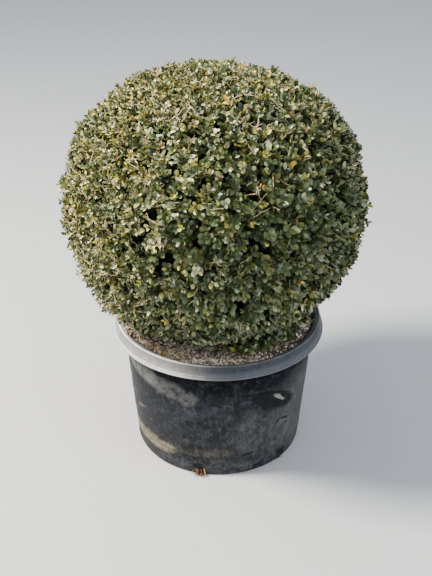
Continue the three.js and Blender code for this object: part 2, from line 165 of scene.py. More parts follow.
# Materials
class Paint:
    """A material of nodes on the Principled shader, with helpers that each add a node or a few."""

    def __init__(self, name, **values):
        self.material = bpy.data.materials.new(name)
        self.material.use_nodes = True
        self.tree = self.material.node_tree
        self.shader = self.tree.nodes["Principled BSDF"]
        self.place = self.node("TexCoord", out="Object")
        self.set(**values)

    def put(self, socket, value):
        if isinstance(value, bpy.types.NodeSocket):
            self.tree.links.new(value, socket)
        elif value is not None:
            socket.default_value = value

    def set(self, **values):
        for name, value in values.items():
            self.put(self.shader.inputs[name.replace("_", " ")], value)

    def node(self, kind, *values, out=0, **settings):
        """A node with its inputs in their order."""
        node = self.tree.nodes.new("ShaderNode" + kind)
        for name, value in settings.items():
            setattr(node, name, value)
        for socket, value in zip(node.inputs, values):
            self.put(socket, value)
        return node.outputs[out]

    def named(self, kind, out, **values):
        """A node with its inputs by name."""
        node = self.tree.nodes.new("ShaderNode" + kind)
        for name, value in values.items():
            self.put(node.inputs[name], value)
        return node.outputs[out]

    def axes(self):
        return [self.node("SeparateXYZ", self.place, out=axis) for axis in range(3)]

    def math(self, operation, *values):
        return self.node("Math", *values, operation=operation)

    def times(self, *values):
        return reduce(lambda one, other: self.math("MULTIPLY", one, other), values)

    def plus(self, *values):
        return reduce(lambda one, other: self.math("ADD", one, other), values)

    def minus(self, first, second):
        return self.math("SUBTRACT", first, second)

    def most(self, *values):
        return reduce(lambda one, other: self.math("MAXIMUM", one, other), values)

    def noise(self, scale, detail, roughness, turn=0, squeeze=None, distortion=0.0):
        """A noise. For marks that run one way it is turned about the Y axis and squeezed."""
        place = self.place
        if turn:
            place = self.node("Mapping", place, None, (0.0, math.radians(turn), 0.0))
        if squeeze:
            place = self.node("Mapping", place, None, None, squeeze)
        values = {"Vector": place, "Scale": scale, "Detail": detail, "Roughness": roughness}
        return self.named("TexNoise", "Fac", Distortion=distortion, **values)

    def ramp(self, value, low, high, start=0.0, end=1.0):
        return self.node("MapRange", value, low, high, start, end, interpolation_type="SMOOTHSTEP")

    def mix(self, share, first, second):
        """Two colours mixed, each a node's or one on the 0 to 255 scale."""
        hues = [srgb(*hue) if isinstance(hue, tuple) else hue for hue in (first, second)]
        return self.node("MixRGB", share, *hues)

    def coats(self, colour, *coats):
        """A colour under coats, each as a value, where it starts and is full, its share, its hue."""
        for value, low, high, share, hue in coats:
            colour = self.mix(self.ramp(value, low, high, 0.0, share), colour, hue)
        return colour

    def finish(self, colour, roughness, relief, distance, strength=1.0):
        bump = self.named("Bump", "Normal", Strength=strength, Distance=distance, Height=relief)
        self.set(Base_Color=colour, Roughness=roughness, Normal=bump)
        return self.material

    def spot(self, turn, height, across, rise, slant=0.0, full=0.15):
        """1 in the middle of an oval place on the pot's wall, falling to 0 at its edge from a
        share of its size (squared)."""
        x, y, z = self.axes()
        sin, cos = math.sin(math.radians(turn)), math.cos(math.radians(turn))
        tip = math.radians(slant)
        aside = self.plus(self.times(x, cos), self.times(y, sin))
        above = self.minus(z, height)
        along = self.plus(self.times(aside, math.cos(tip)), self.times(above, math.sin(tip)))
        over = self.minus(self.times(above, math.cos(tip)), self.times(aside, math.sin(tip)))
        shares = self.times(along, 1 / across), self.times(over, 1 / rise)
        far = self.plus(*(self.math("POWER", share, 2.0) for share in shares))
        front = self.minus(self.times(x, sin), self.times(y, cos))
        return self.times(self.ramp(far, 1.0, full), self.ramp(front, 0.0, 0.02))

    def ragged(self, mask, noise, low, high, depth):
        """A mask with its edge broken up by a noise."""
        shift = self.times(self.minus(noise, 0.5), depth)
        return self.times(self.ramp(self.plus(mask, shift), low, high), self.ramp(mask, 0.0, 0.2))


# Noises on the pot: scale, detail, roughness, and where needed turn, squeeze and distortion
POT_NOISES = {
    "clouds": (9.0, 6.0, 0.66),
    "mottle": (64.0, 5.0, 0.75),
    "grain": (210.0, 3.0, 0.75),
    "rubs": (120.0, 3.0, 0.7, 28, (0.20, 0.5, 1.0)),
    "cross_rubs": (110.0, 3.0, 0.7, 112, (0.22, 0.5, 1.0)),
    "drips": (70.0, 4.0, 0.7, 0, (1.0, 1.0, 0.16)),
    "curls": (26.0, 2.0, 0.5, 0, None, 1.6),
    "blots": (30.0, 5.0, 0.7, 30, (0.6, 0.8, 1.0)),
    "streaks": (130.0, 3.0, 0.7, 0, (1.0, 1.0, 0.14)),
    "patches": (18.0, 6.0, 0.7, 0, (1.0, 1.0, 1.9)),
}


def wall_colour(paint, on):
    """Dark plastic: clouded, rubbed pale and streaked, with painted shade on the left side, high up and
    darkest just under the collar.
    """
    curls = paint.math("ABSOLUTE", paint.minus(on.curls, 0.5))
    low = paint.times(paint.ramp(on.z, 0.170, 0.075), paint.ramp(on.clouds, 0.28, 0.62, 0.25, 0.85))
    # Painted shade high on the wall, below the overhang of the collar
    painted_shade_high = paint.ramp(on.z, 0.205, 0.262, 0.0, 0.70)
    painted_shade_high = paint.times(painted_shade_high, paint.ramp(on.mottle, 0.30, 0.65, 1.0, 0.6))
    wall = paint.mix(paint.ramp(on.clouds, 0.38, 0.62), (16, 18, 23), (35, 38, 45))
    wall = paint.coats(
        paint.mix(low, wall, (38, 39, 43)),
        (on.blots, 0.50, 0.64, 0.50, (62, 64, 68)),
        (on.mottle, 0.50, 0.66, 0.55, (74, 76, 80)),
        (on.mottle, 0.48, 0.36, 0.75, (9, 10, 13)),
        (on.blots, 0.47, 0.36, 0.65, (9, 10, 13)),
        (on.grain, 0.52, 0.70, 0.30, (84, 86, 90)),
        # Painted shade on the left side of the wall, where the light falls strongest
        (on.x, -0.050, -0.190, 0.76, (14, 15, 18)),
        (on.rubs, 0.60, 0.74, 0.38, (92, 94, 96)),
        (on.cross_rubs, 0.62, 0.76, 0.34, (88, 90, 90)),
        (curls, 0.012, 0.003, 0.42, (14, 15, 18)),
        (on.streaks, 0.54, 0.70, 0.35, (80, 82, 84)),
        (on.streaks, 0.46, 0.32, 0.45, (9, 10, 13)),
    )
    # Painted shade: darker high on the wall and darkest just under the collar
    return paint.coats(paint.mix(painted_shade_high, wall, (8, 8, 12)), (on.z, 0.272, 0.290, 0.94, (3, 3, 5)))


def collar_colour(paint, on, painted_sunlight_left):
    """Greyer plastic, lighter towards the bead, with painted sunlight on the left and a painted highlight
    along the bead.
    """
    collar = paint.coats(
        paint.mix(paint.ramp(on.clouds, 0.36, 0.64), (42, 45, 52), (62, 65, 72)),
        (on.mottle, 0.44, 0.70, 0.50, (70, 73, 79)),
        (on.drips, 0.54, 0.72, 0.40, (28, 30, 36)),
        (on.grain, 0.52, 0.70, 0.35, (88, 91, 95)),
        (on.z, 0.3225, 0.3130, 0.50, (98, 101, 106)),
    )
    uneven = paint.ramp(on.mottle, 0.25, 0.60, 0.70, 1.0), paint.ramp(on.drips, 0.60, 0.40, 0.78, 1.0)
    # Painted sunlight on the left of the collar, broken up by the mottle and the drips
    collar = paint.mix(paint.times(painted_sunlight_left, *uneven), collar, (141, 140, 135))
    # A painted highlight along the bead, brighter on the left
    bead_highlight = paint.times(paint.ramp(on.z, 0.3128, 0.3116), paint.ramp(on.drips, 0.34, 0.60, 0.95, 0.50))
    return paint.mix(bead_highlight, collar, paint.mix(painted_sunlight_left, (92, 95, 101), (204, 204, 199)))


def rim_colour(paint, on, colour, painted_sunlight_left, on_collar):
    """A painted highlight along the crest of the collar, and painted light on its inner lip where it lies
    in shade.
    """
    # A painted highlight along the crest, brightest on the left
    crest_highlight = paint.times(
        paint.ramp(on.z, POT_HEIGHT - 0.0030, POT_HEIGHT - 0.0010),
        paint.ramp(on.mottle, 0.3, 0.6, 0.5, 1.0),
        paint.ramp(on.x, 0.03, -0.08, 0.20, 0.95),
    )
    colour = paint.mix(crest_highlight, colour, paint.mix(painted_sunlight_left, (172, 173, 170), (226, 225, 220)))
    # Painted light on the inner lip, on the right where the ball shades it
    radius = paint.math("SQRT", paint.plus(paint.times(on.x, on.x), paint.times(on.y, on.y)))
    painted_light_lip = paint.times(paint.ramp(radius, CREST_RADIUS - 0.0008, CREST_RADIUS - 0.0020), on_collar)
    return paint.mix(paint.times(painted_light_lip, paint.ramp(on.x, -0.08, 0.0, 0.0, 0.92)), colour, (100, 106, 111))


def mud_mask(paint, on):
    """Dried mud in a broken band near the foot, thickest at the left."""
    band = paint.times(paint.ramp(on.z, 0.034, 0.054), paint.ramp(on.z, 0.092, 0.066))
    band = paint.times(band, paint.ramp(on.patches, 0.46, 0.72, 0.0, 0.40))
    left = paint.ragged(paint.spot(-55, 0.057, 0.122, 0.027, 0, 0.10), on.blots, 0.15, 0.95, 2.0)
    left = paint.times(left, paint.ramp(on.patches, 0.30, 0.55, 0.62, 0.98))
    middle = paint.ragged(paint.spot(-6, 0.070, 0.085, 0.019, 4), on.mottle, 0.15, 1.05, 1.0)
    middle = paint.times(middle, paint.ramp(on.patches, 0.36, 0.62, 0.14, 0.38))
    return paint.times(paint.most(band, left, middle), paint.ramp(on.mottle, 0.32, 0.60, 0.25, 1.0))


def dust_mask(paint, on):
    """Dust where rain has run: a smear at the front left, and films at the right and the foot."""
    smear = paint.times(
        paint.ragged(paint.spot(-30, 0.236, 0.088, 0.041, -14), on.blots, 0.20, 1.05, 3.2),
        paint.ramp(on.patches, 0.25, 0.60, 0.50, 0.86),
        paint.ramp(on.grain, 0.32, 0.62, 0.50, 1.0),
    )
    right = paint.times(paint.spot(62, 0.13, 0.13, 0.16), paint.ramp(on.mottle, 0.32, 0.62, 0.2, 0.62))
    middle = paint.spot(21, 0.120, 0.050, 0.085)
    middle = paint.times(middle, paint.ramp(on.mottle, 0.34, 0.62, 0.08, 0.40))
    foot = paint.times(paint.ramp(on.z, 0.050, 0.020), paint.ramp(on.mottle, 0.34, 0.66, 0.0, 0.28))
    return paint.most(smear, right, middle, foot)


def dent_colour(paint, on, colour):
    """Painted shade in the hollow of the long dent, scratches, and a painted highlight on the facet of its
    fold.
    """
    slant = FACET["slant"]
    # Painted shade in the hollow of the long dent
    dent_shadow = paint.spot(DENT["turn"] - 0.6, DENT["height"] + 0.001, 0.078, 0.029, DENT["slant"], 0.55)
    dent_shadow = paint.times(dent_shadow, paint.ramp(on.mottle, 0.30, 0.65, 0.96, 0.78))
    colour = paint.mix(dent_shadow, colour, (9, 10, 16))
    for scratches, share, hue in SCRATCH_PAINT:
        for scratch in scratches:
            colour = paint.mix(paint.times(paint.spot(*scratch), share), colour, hue)
    # A painted highlight on the upward facet of the fold
    fold = paint.spot(*FACET.values(), 0.10)
    below = paint.spot(FACET["turn"] - 2.2, FACET["height"] - 0.0082, 0.040, 0.0080, slant, 0.60)
    beside = paint.spot(FACET["turn"] + 5.4, FACET["height"] - 0.0040, 0.021, 0.0078, slant, 0.55)
    fold = paint.times(fold, paint.minus(1.0, paint.most(below, beside)))
    fold = paint.times(fold, paint.ramp(on.grain, 0.30, 0.60, 0.7, 1.0))
    return paint.mix(fold, colour, (134, 132, 125))


def pot_material():
    paint = Paint("pot_moulded_plastic", Metallic=0.0)
    on = SimpleNamespace(**{name: paint.noise(*values) for name, values in POT_NOISES.items()})
    on.x, on.y, on.z = paint.axes()
    # Painted sunlight on the left of the collar, its bead and its crest
    painted_sunlight_left = paint.ramp(on.x, 0.010, -0.125)
    on_collar = paint.ramp(on.z, COLLAR_BOTTOM - 0.004, COLLAR_BOTTOM - 0.001)
    colour = paint.mix(on_collar, wall_colour(paint, on), collar_colour(paint, on, painted_sunlight_left))
    colour = rim_colour(paint, on, colour, painted_sunlight_left, on_collar)
    mud = mud_mask(paint, on)
    mud_hue = paint.mix(paint.ramp(on.z, 0.060, 0.078), (126, 120, 100), (102, 90, 72))
    colour = paint.mix(mud, colour, mud_hue)
    dust = dust_mask(paint, on)
    colour = paint.mix(dust, colour, (94, 95, 93))
    above = paint.times(
        paint.ragged(paint.spot(-57, 0.268, 0.094, 0.042, -14), on.mottle, 0.10, 1.10, 1.2),
        paint.ramp(on.streaks, 0.32, 0.62, 0.30, 0.74),
        paint.ramp(on.patches, 0.30, 0.60, 0.62, 1.0),
    )
    colour = dent_colour(paint, on, paint.mix(above, colour, (118, 117, 112)))
    dusty = paint.times(paint.most(mud, dust), 0.3)
    roughness = paint.plus(paint.ramp(on.mottle, 0.3, 0.7, 0.42, 0.60), dusty)
    shares = ((on.grain, 0.5), (on.mottle, 0.6), (on.rubs, 0.4))
    relief = paint.plus(*(paint.times(noise, share) for noise, share in shares))
    gloss = paint.most(paint.ramp(on.z, 0.205, 0.275, 0.12, 0.02), paint.times(on_collar, 0.14))
    paint.set(Specular_IOR_Level=gloss)
    return paint.finish(colour, roughness, relief, 0.0010, 0.7)


def soil_material():
    paint = Paint("soil_moist_mix", Metallic=0.0, Specular_IOR_Level=0.3)
    clumps = paint.noise(60.0, 6.0, 0.7)
    fibres = paint.noise(320.0, 4.0, 0.7)
    cells = paint.named("TexVoronoi", "Color", Vector=paint.place, Scale=420.0)
    crumbs = paint.node("SeparateColor", cells)
    x = paint.axes()[0]
    # Painted light: the soil is coloured lighter than its own colour, against the shade of the ball
    colour = paint.coats(
        paint.mix(paint.ramp(clumps, 0.42, 0.62), (108, 95, 85), (236, 221, 204)),
        (crumbs, 0.74, 0.82, 0.45, (166, 142, 112)),
        (fibres, 0.58, 0.70, 0.80, (206, 192, 168)),
        # Painted shade on the right, and the left painted darker where the light falls on it
        (x, 0.03, 0.14, 0.78, (54, 46, 38)),
        (x, -0.10, -0.16, 0.80, (58, 48, 38)),
    )
    relief = paint.plus(clumps, paint.times(fibres, 0.5))
    return paint.finish(colour, paint.ramp(clumps, 0.3, 0.7, 0.98, 0.84), relief, 0.003)


def bark_material():
    paint = Paint("bark_grey_brown", Metallic=0.0, Specular_IOR_Level=0.35)
    ribs = paint.noise(70.0, 5.0, 0.65, 0, (1.0, 1.0, 0.16), 0.6)
    moss = paint.noise(24.0, 4.0, 0.6)
    flecks = paint.noise(380.0, 3.0, 0.6)
    colour = paint.coats(
        paint.mix(paint.ramp(ribs, 0.34, 0.64), (74, 62, 48), (168, 154, 126)),
        (moss, 0.56, 0.72, 0.5, (112, 116, 84)),
        (flecks, 0.62, 0.74, 0.5, (190, 180, 156)),
    )
    relief = paint.plus(ribs, paint.times(flecks, 0.25))
    return paint.finish(colour, paint.ramp(ribs, 0.3, 0.7, 0.95, 0.78), relief, 0.0015)


def chip_material(name, dark, light):
    paint = Paint(name, Metallic=0.0, Specular_IOR_Level=0.3)
    tone = paint.noise(45.0, 5.0, 0.7)
    fibre = paint.noise(500.0, 3.0, 0.6)
    colour = paint.mix(paint.ramp(tone, 0.32, 0.68), dark, light)
    return paint.finish(colour, paint.ramp(fibre, 0.3, 0.7, 0.75, 0.95), fibre, 0.0006, 0.8)


def plain_material(name, colour, roughness, coat=0.0):
    """A tint that is dealt out by spray: the same all over, set on the shader's own sockets."""
    paint = Paint(name, Base_Color=srgb(*colour), Roughness=roughness, Metallic=0.0)
    paint.set(Coat_Weight=coat, Coat_Roughness=0.34, Specular_IOR_Level=0.45)
    return paint.material


# Meshes
def add_object(name, data):
    thing = bpy.data.objects.new(name, data)
    bpy.context.scene.collection.objects.link(thing)
    return thing


def mesh_of(name, points, faces):
    mesh = bpy.data.meshes.new(name)
    mesh.from_pydata(np.asarray(points).tolist(), [], faces)
    return mesh


def add_mesh(name, points, faces, material, slot, stands_for=(), angle=None, rounded=True):
    """A piece of the part from arrays of points and of faces with the same number of corners."""
    points, faces = np.asarray(points, float), np.asarray(faces, int)
    mesh = bpy.data.meshes.new(name)
    count, corners = faces.shape
    mesh.vertices.add(len(points))
    mesh.vertices.foreach_set("co", points.astype(np.float32).ravel())
    mesh.loops.add(count * corners)
    mesh.loops.foreach_set("vertex_index", faces.astype(np.int32).ravel())
    mesh.polygons.add(count)
    mesh.polygons.foreach_set("loop_start", np.arange(0, count * corners, corners, dtype=np.int32))
    mesh.polygons.foreach_set("use_smooth", np.broadcast_to(rounded, count).copy())
    mesh.update(calc_edges=True)
    mesh.validate()
    if angle is not None:
        mesh.set_sharp_from_angle(angle=math.radians(angle))
    mesh.materials.append(material)
    piece = add_object(name, mesh)
    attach(piece, BODY)
    if stands_for:
        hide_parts(*stands_for)


def join_meshes(parts):
    """Joins (points, faces) pairs into one."""
    starts = np.cumsum([0] + [len(points) for points, _ in parts])
    faces = [faces + start for (_, faces), start in zip(parts, starts)]
    return np.concatenate([points for points, _ in parts]), np.concatenate(faces)


def level_rings(radii, heights, segments):
    """Points (rings, segments, 3) of level rings round the axis."""
    turns = np.arange(segments) * 2 * math.pi / segments
    x, y = radii[:, None] * np.sin(turns), -radii[:, None] * np.cos(turns)
    return np.stack([x, y, heights[:, None] + 0 * x], axis=-1)


def between_rings(index):
    """Quads between rings of points, whose numbers are the rows of a table."""
    near, far = index[..., :-1, :], index[..., 1:, :]
    quads = np.stack([near, np.roll(near, -1, -1), np.roll(far, -1, -1), far], axis=-1)
    return quads.reshape(-1, 4)


def fan(ring, hub):
    """Triangles between a ring of points and one in its middle."""
    return np.stack([ring, np.roll(ring, -1), 0 * ring + hub], axis=-1)


def closed_faces(rings, inward=False):
    """Faces between rings of points, closed at both ends by two points that follow them."""
    index = np.arange(rings.size // 3).reshape(rings.shape[:2])
    quads = between_rings(index)
    first, last = fan(index[0], index.size)[:, [1, 0, 2]], fan(index[-1], index.size + 1)
    if inward:
        quads, first, last = quads[:, ::-1], first[:, [1, 0, 2]], last[:, [1, 0, 2]]
    return quads.tolist() + first.tolist() + last.tolist()


def turned(first, second, angle):
    """Vectors turned by an angle from the first towards the second."""
    return first * np.cos(angle)[..., None] + second * np.sin(angle)[..., None]


def tubes(lines, radii, sides):
    """Round twigs with the same number of rings: lines (n, k, 3), radii (n, k), or k for all."""
    radii = np.broadcast_to(radii, lines.shape[:2])
    tangents = unit(np.gradient(lines, axis=1))
    whole = unit(lines[:, -1] - lines[:, 0])
    helper = np.where(np.abs(whole[:, 2:]) < 0.8, [[0.0, 0.0, 1.0]], [[1.0, 0.0, 0.0]])
    side = unit(np.cross(tangents, helper[:, None, :]))
    other = np.cross(tangents, side)
    angles = np.arange(sides) * 2 * math.pi / sides
    ring = turned(side[:, :, None], other[:, :, None], angles)
    points = lines[:, :, None] + ring * radii[:, :, None, None]
    index = np.arange(radii.size * sides).reshape(*radii.shape, sides)
    return points.reshape(-1, 3), between_rings(index)


def bezier(start, middle, end, steps):
    """Points (n, steps, 3) along quadratic curves."""
    share = np.linspace(0, 1, steps)[None, :, None]
    start, middle, end = (np.atleast_2d(p)[:, None, :] for p in (start, middle, end))
    return start * (1 - share) ** 2 + middle * 2 * share * (1 - share) + end * share**2


# Leaves: an oval fan of eight faces, folded at the midrib and bent along. Old ones have four.
LEAF_EDGE = [(0, 0), (0.15, 0.34), (0.5, 0.5), (0.85, 0.33), (1, 0), (0.85, -0.33), (0.5, -0.5)]
LEAF_OUTLINE = np.array(LEAF_EDGE + [(0.15, -0.34), (0.5, 0)])
CORNERS, MIDDLE = 9, 8
LEAF_FACES = np.array([(MIDDLE, i, (i + 1) % MIDDLE) for i in range(MIDDLE)])
INNER_FACES = np.array([(0, 1, 3), (0, 3, 4), (0, 4, 5), (0, 5, 7)])


def leaf_points(root, axis, facing, length, width, cup, bend):
    """Corners (n, 9, 3) of leaves that run from root along axis and face a way."""
    side = unit(np.cross(facing, axis))
    normal = np.cross(axis, side)
    along, across = LEAF_OUTLINE[:, 0], LEAF_OUTLINE[:, 1]
    rise = cup[:, None] * 2 * np.abs(across) - bend[:, None] * along**2
    points = root[:, None] + axis[:, None] * (along[None, :, None] * length[:, None, None])
    points = points + side[:, None] * (across[None, :, None] * width[:, None, None])
    return points + normal[:, None] * (rise * length[:, None])[:, :, None]


def leaf_mesh(points, faces=LEAF_FACES):
    faces = faces[None] + CORNERS * np.arange(len(points))[:, None, None]
    return points.reshape(-1, 3), faces.reshape(-1, 3)


# Where the ball was clipped fuller or closer: turn, latitude, how far that goes both ways, share
CLIPPED_UNEVEN = ((-60, -43, 24, 12, 0.062), (58, -43, 22, 12, -0.038))


def turn_of(points):
    return np.degrees(np.arctan2(points[..., 0], -points[..., 1]))


def reach_of(directions):
    """How far the ball reaches in a direction."""
    latitude = np.arcsin(np.clip(directions[..., 2], -1, 1))
    turn = turn_of(directions)
    uneven = 1.0
    for at, level, across, along, share in CLIPPED_UNEVEN:
        away = ((turn - at) / across) ** 2 + ((np.degrees(latitude) - level) / along) ** 2
        uneven = uneven + share * np.exp(-away)
    return BALL_REACH * uneven * (1 + SHOULDER * np.cos(2 * latitude) + CORNER * np.cos(4 * latitude))


def ball_point(directions, share):
    return BALL_CENTRE + directions * (reach_of(directions) * np.asarray(share))[..., None]


def share_of(points):
    """How far out a point lies, as a share of the ball's reach, and its direction."""
    offset = points - BALL_CENTRE
    length = np.linalg.norm(offset, axis=-1)
    directions = offset / np.maximum(length, 1e-9)[..., None]
    return length / reach_of(directions), directions


def drawn_in(points, most):
    """Moves points back to a share of the reach where they lie beyond it."""
    share, outward = share_of(points)
    return points - outward * (np.maximum(share - most, 0) * reach_of(outward))[:, None]


def underside(points):
    """The level that the ball's leaves stay above: lower where its skirt hangs to the soil."""
    turn = turn_of(points)
    level = BALL_UNDERSIDE + 0 * turn
    for middle, width, drop in SKIRT:
        level = level - drop * np.exp(-(((turn - middle) / width) ** 2))
    return level


def inside_ball(leaves, tints, most):
    """Moves leaves in until their tips are at the reach, and drops those that would move far or
    that lie under the ball."""
    leaves = leaves.reshape(-1, CORNERS, 3)
    over = np.maximum(share_of(leaves)[0].max(axis=1) - most, 0)
    middle = leaves.mean(axis=1)
    outward = share_of(middle)[1]
    moved = leaves - (outward * (over * reach_of(outward))[:, None])[:, None]
    keep = (over < FARTHEST_MOVE) & (leaves[:, :, 2].min(axis=1) > underside(middle))
    return moved[keep], tints.ravel()[keep]


def pale_of(points):
    """How much sun a place on the ball has, from 0 to 1."""
    outward = share_of(points)[1]
    total = PALE
    for heading, share, edge in SUNNY:
        total = total + share * np.clip(outward @ unit(np.array(heading)) + 0.10, 0, 1) ** edge
    return np.clip(total, 0, 1)


# The tints: colour, roughness, and how often a spray in the shade and in the sun has each
TINTS = {
    "deep_green": ((44, 54, 27), 0.40, 20, 5),
    "dark_green": ((60, 72, 36), 0.40, 27, 9),
    "mid_green": ((83, 96, 52), 0.42, 24, 13),
    "grey_green": ((104, 116, 80), 0.38, 16, 10),
    "silver_green": ((136, 146, 108), 0.38, 4.5, 7),
    "moss": ((86, 87, 38), 0.44, 4, 15),
    "olive": ((118, 118, 62), 0.44, 3, 13),
    "khaki": ((160, 153, 98), 0.48, 0.5, 13),
    "yellow_green": ((168, 166, 80), 0.44, 0.5, 11),
    "cream": ((228, 219, 172), 0.50, 0.15, 19),
    "tan": ((172, 148, 108), 0.60, 0.3, 1.6),
    "gold": ((206, 176, 84), 0.52, 0.05, 2.0),
    "rust": ((132, 90, 62), 0.60, 0.12, 0.2),
}
SMALLER_LEAVES = {"cream": 0.78, "gold": 0.80, "tan": 0.85, "rust": 0.85}


def deal_tints(paleness, random):
    """Deals a tint to each spray by how pale its place is."""
    shade, sun = (np.array([tint[column] for tint in TINTS.values()], float) for column in (2, 3))
    shade, sun = shade / shade.sum(), sun / sun.sum()
    weights = np.cumsum(shade + (sun - shade) * paleness[:, None], axis=1)
    return (random.uniform(size=(len(paleness), 1)) > weights).sum(axis=1).clip(0, len(TINTS) - 1)


def mixed_tints(tints, paleness, leaves, random):
    """One tint for most leaves of a twig, and some others among them."""
    table = np.repeat(tints[:, None], leaves, axis=1)
    for leaf in range(leaves):
        odd = random.uniform(size=len(tints)) < lerp(*ODD_LEAVES, paleness)
        table[odd, leaf] = deal_tints(paleness[odd], random)
    return table


# A twig's leaves in the shade and in the sun: how they turn to the light, how unevenly, how they are
# folded and bent, shares of their length and width, and the share of them in another tint
LEAF_WAYS = {
    "light": (0.60, 0.25),
    "wild": (0.24, 0.50),
    "fold": (-0.10, 0.16),
    "sag": (0.10, 0.16),
    "length": (1.0, 0.84),
    "width": (1.0, 0.64),
}
ODD_LEAVES = (0.28, 0.45)
LEAF_LENGTH, LEAF_WIDTH = 0.0172, 0.0122
# Leaves on places less pale than this are shaded round
SOFT_LEAVES = 0.45


def twig_leaves(base, tip, pale, random, size=1.0, pairs=5):
    """Leaves in opposite pairs, each pair a quarter turn on from the last. In the sun they are
    narrower and more curled. Returns the corners (n, leaves, 9, 3) of each twig's leaves."""
    count = len(base)
    along = unit(tip - base)
    side = unit(np.cross(along, unit(random.normal(size=(count, 3)))))
    other = np.cross(along, side)
    way = SimpleNamespace(**{name: lerp(*ends, pale) for name, ends in LEAF_WAYS.items()})
    light, wild = way.light[:, None], way.wild[:, None]
    to_light = (share_of(tip)[1] * light, UP * light * 0.5)
    length, width = LEAF_LENGTH * size * way.length, LEAF_WIDTH * size * way.width
    sets = []
    for pair in range(pairs):
        share = 0.30 + 0.70 * pair / (pairs - 1)
        last = 0.80 if pair == pairs - 1 else 1.0
        for hand in (-1, 1):
            level = turned(side, other, pair * math.pi / 2 + random.normal(0, 0.32, count))
            forward = np.radians(lerp(26, 60, share) + random.normal(0, 14, count))
            axis = turned(level * hand, along, forward)
            facing = turned(along, -level * hand, forward) + to_light[0] + to_light[1]
            facing = unit(facing + random.normal(0, 1, (count, 3)) * wild)
            grown = random.uniform(0.74, 1.14, count) * last
            root = base + (tip - base) * (share + random.uniform(-0.05, 0.05, count))[:, None]
            cup = way.fold + random.normal(0, 0.06, count)
            bend = way.sag + random.normal(0, 0.12, count)
            sets.append(leaf_points(root, unit(axis), facing, length * grown, width * grown, cup, bend))
    return np.stack(sets, axis=1)


# Wood: the trunk, the boughs and their branches inside the ball
TRUNK = SimpleNamespace(length=0.150, foot=0.031, neck=0.020, tip=0.015, flare=7, steps=64)
TRUNK_FOOT = np.array([0.0, 0.0, 0.3243])
TRUNK_TOP = TRUNK_FOOT + np.array([-0.012, -0.006, TRUNK.length])
BOUGHS = 6
BOUGH = SimpleNamespace(first=52, base=0.010, tip=0.0035, slimmer=0.0004, sag=0.034, inside=0.8, steps=40)
BOUGH_START = (0.3, 0.82)
BOUGH_LATITUDES = (-14, 12, 36, -4, 24, 50)
BRANCHES = 59
BRANCH = SimpleNamespace(lowest=-64, turn=6, latitude=4, end=0.76, base=0.0042, tip=0.0020, steps=14)
STEM = SimpleNamespace(base=0.0145, tip=0.0036, end=0.78, steps=59)
# The relief of bark on a limb: its sides, depth, seed and ribs. Each bough has its own seed.
TRUNK_RELIEF = (SIDES.trunk, 0.0032, 11, 7)
STEM_RELIEF = (SIDES.bough, 0.0016, 90, 5)
BOUGH_RELIEF = SimpleNamespace(depth=0.0014, first_seed=30, ribs=4)


def trunk_line(steps):
    return bezier(TRUNK_FOOT, TRUNK_FOOT + UP * TRUNK.length / 2, TRUNK_TOP, steps)[0]


def trunk_radius(share):
    taper = lerp(TRUNK.neck, TRUNK.tip, share)
    return (TRUNK.foot - TRUNK.neck) * np.exp(-share * TRUNK.flare) + taper


def bough_line(index):
    """A bough's line, on from the trunk, past its end in the source to inside the ball."""
    turn = BOUGH.first + GOLDEN_ANGLE * index
    share = lerp(*BOUGH_START, index / (BOUGHS - 1))
    start = trunk_line(101)[round(share * 100)]
    outward = toward(turn, BOUGH_LATITUDES[index])
    end = ball_point(outward, CORE_INNER) + outward * 0.008
    middle = (start + end) / 2 + toward(turn, -30) * BOUGH.sag
    line = bezier(start, middle, end, BOUGH.steps)[0]
    last = unit(line[-1] - line[-2])
    further = ball_point(outward, BOUGH.inside)
    tail = bezier(end, end + last * np.linalg.norm(further - end) * 0.5, further, BOUGH.steps // 2)[0]
    return np.concatenate([line, tail[1:]])


def ball_stem_line():
    """The ball's own stem, from the tip of the trunk up through it."""
    below, tip = trunk_line(STEM.steps)[-2:]
    middle = TRUNK_TOP + unit(tip - below) * 0.12
    return bezier(TRUNK_TOP, middle, ball_point(UP, STEM.end), STEM.steps)[0]


def knobbly(line, radii, sides, depth, seed, ribs):
    """A limb with the relief of bark: ribs that wander along it, and knots."""
    points, quads = tubes(line[None], radii, sides)
    rings = points.reshape(len(line), sides, 3)
    run = np.concatenate([[0], np.cumsum(np.linalg.norm(np.diff(line, axis=0), axis=1))])
    angle = np.arange(sides)[None, :] * 2 * math.pi / sides
    random = np.random.RandomState(seed)
    relief = np.zeros((len(line), sides))
    for rib in range(ribs, ribs + 3):
        wander = 0.7 * np.sin(run[:, None] * random.uniform(40, 90) + random.uniform(0, 6))
        relief += np.abs(np.sin(angle * rib + wander + random.uniform(0, 6)))
    relief = relief / 3 - 0.6 + 0.5 * waves(rings, 0.022, seed + 1) + 0.3 * waves(rings, 0.008, seed + 2)
    out = unit(rings - line[:, None])
    rings = rings + out * (relief * depth * (radii / radii.max())[:, None])[:, :, None]
    return rings.reshape(-1, 3), quads


def capped_by_point(line, radii):
    """Closes a limb's end by a last ring of almost no width."""
    last = unit(line[-1] - line[-2])
    line = np.concatenate([line, [line[-1] + last * radii[-1] * 0.4]])
    return line, np.concatenate([radii, [radii[-1] * 0.02]])


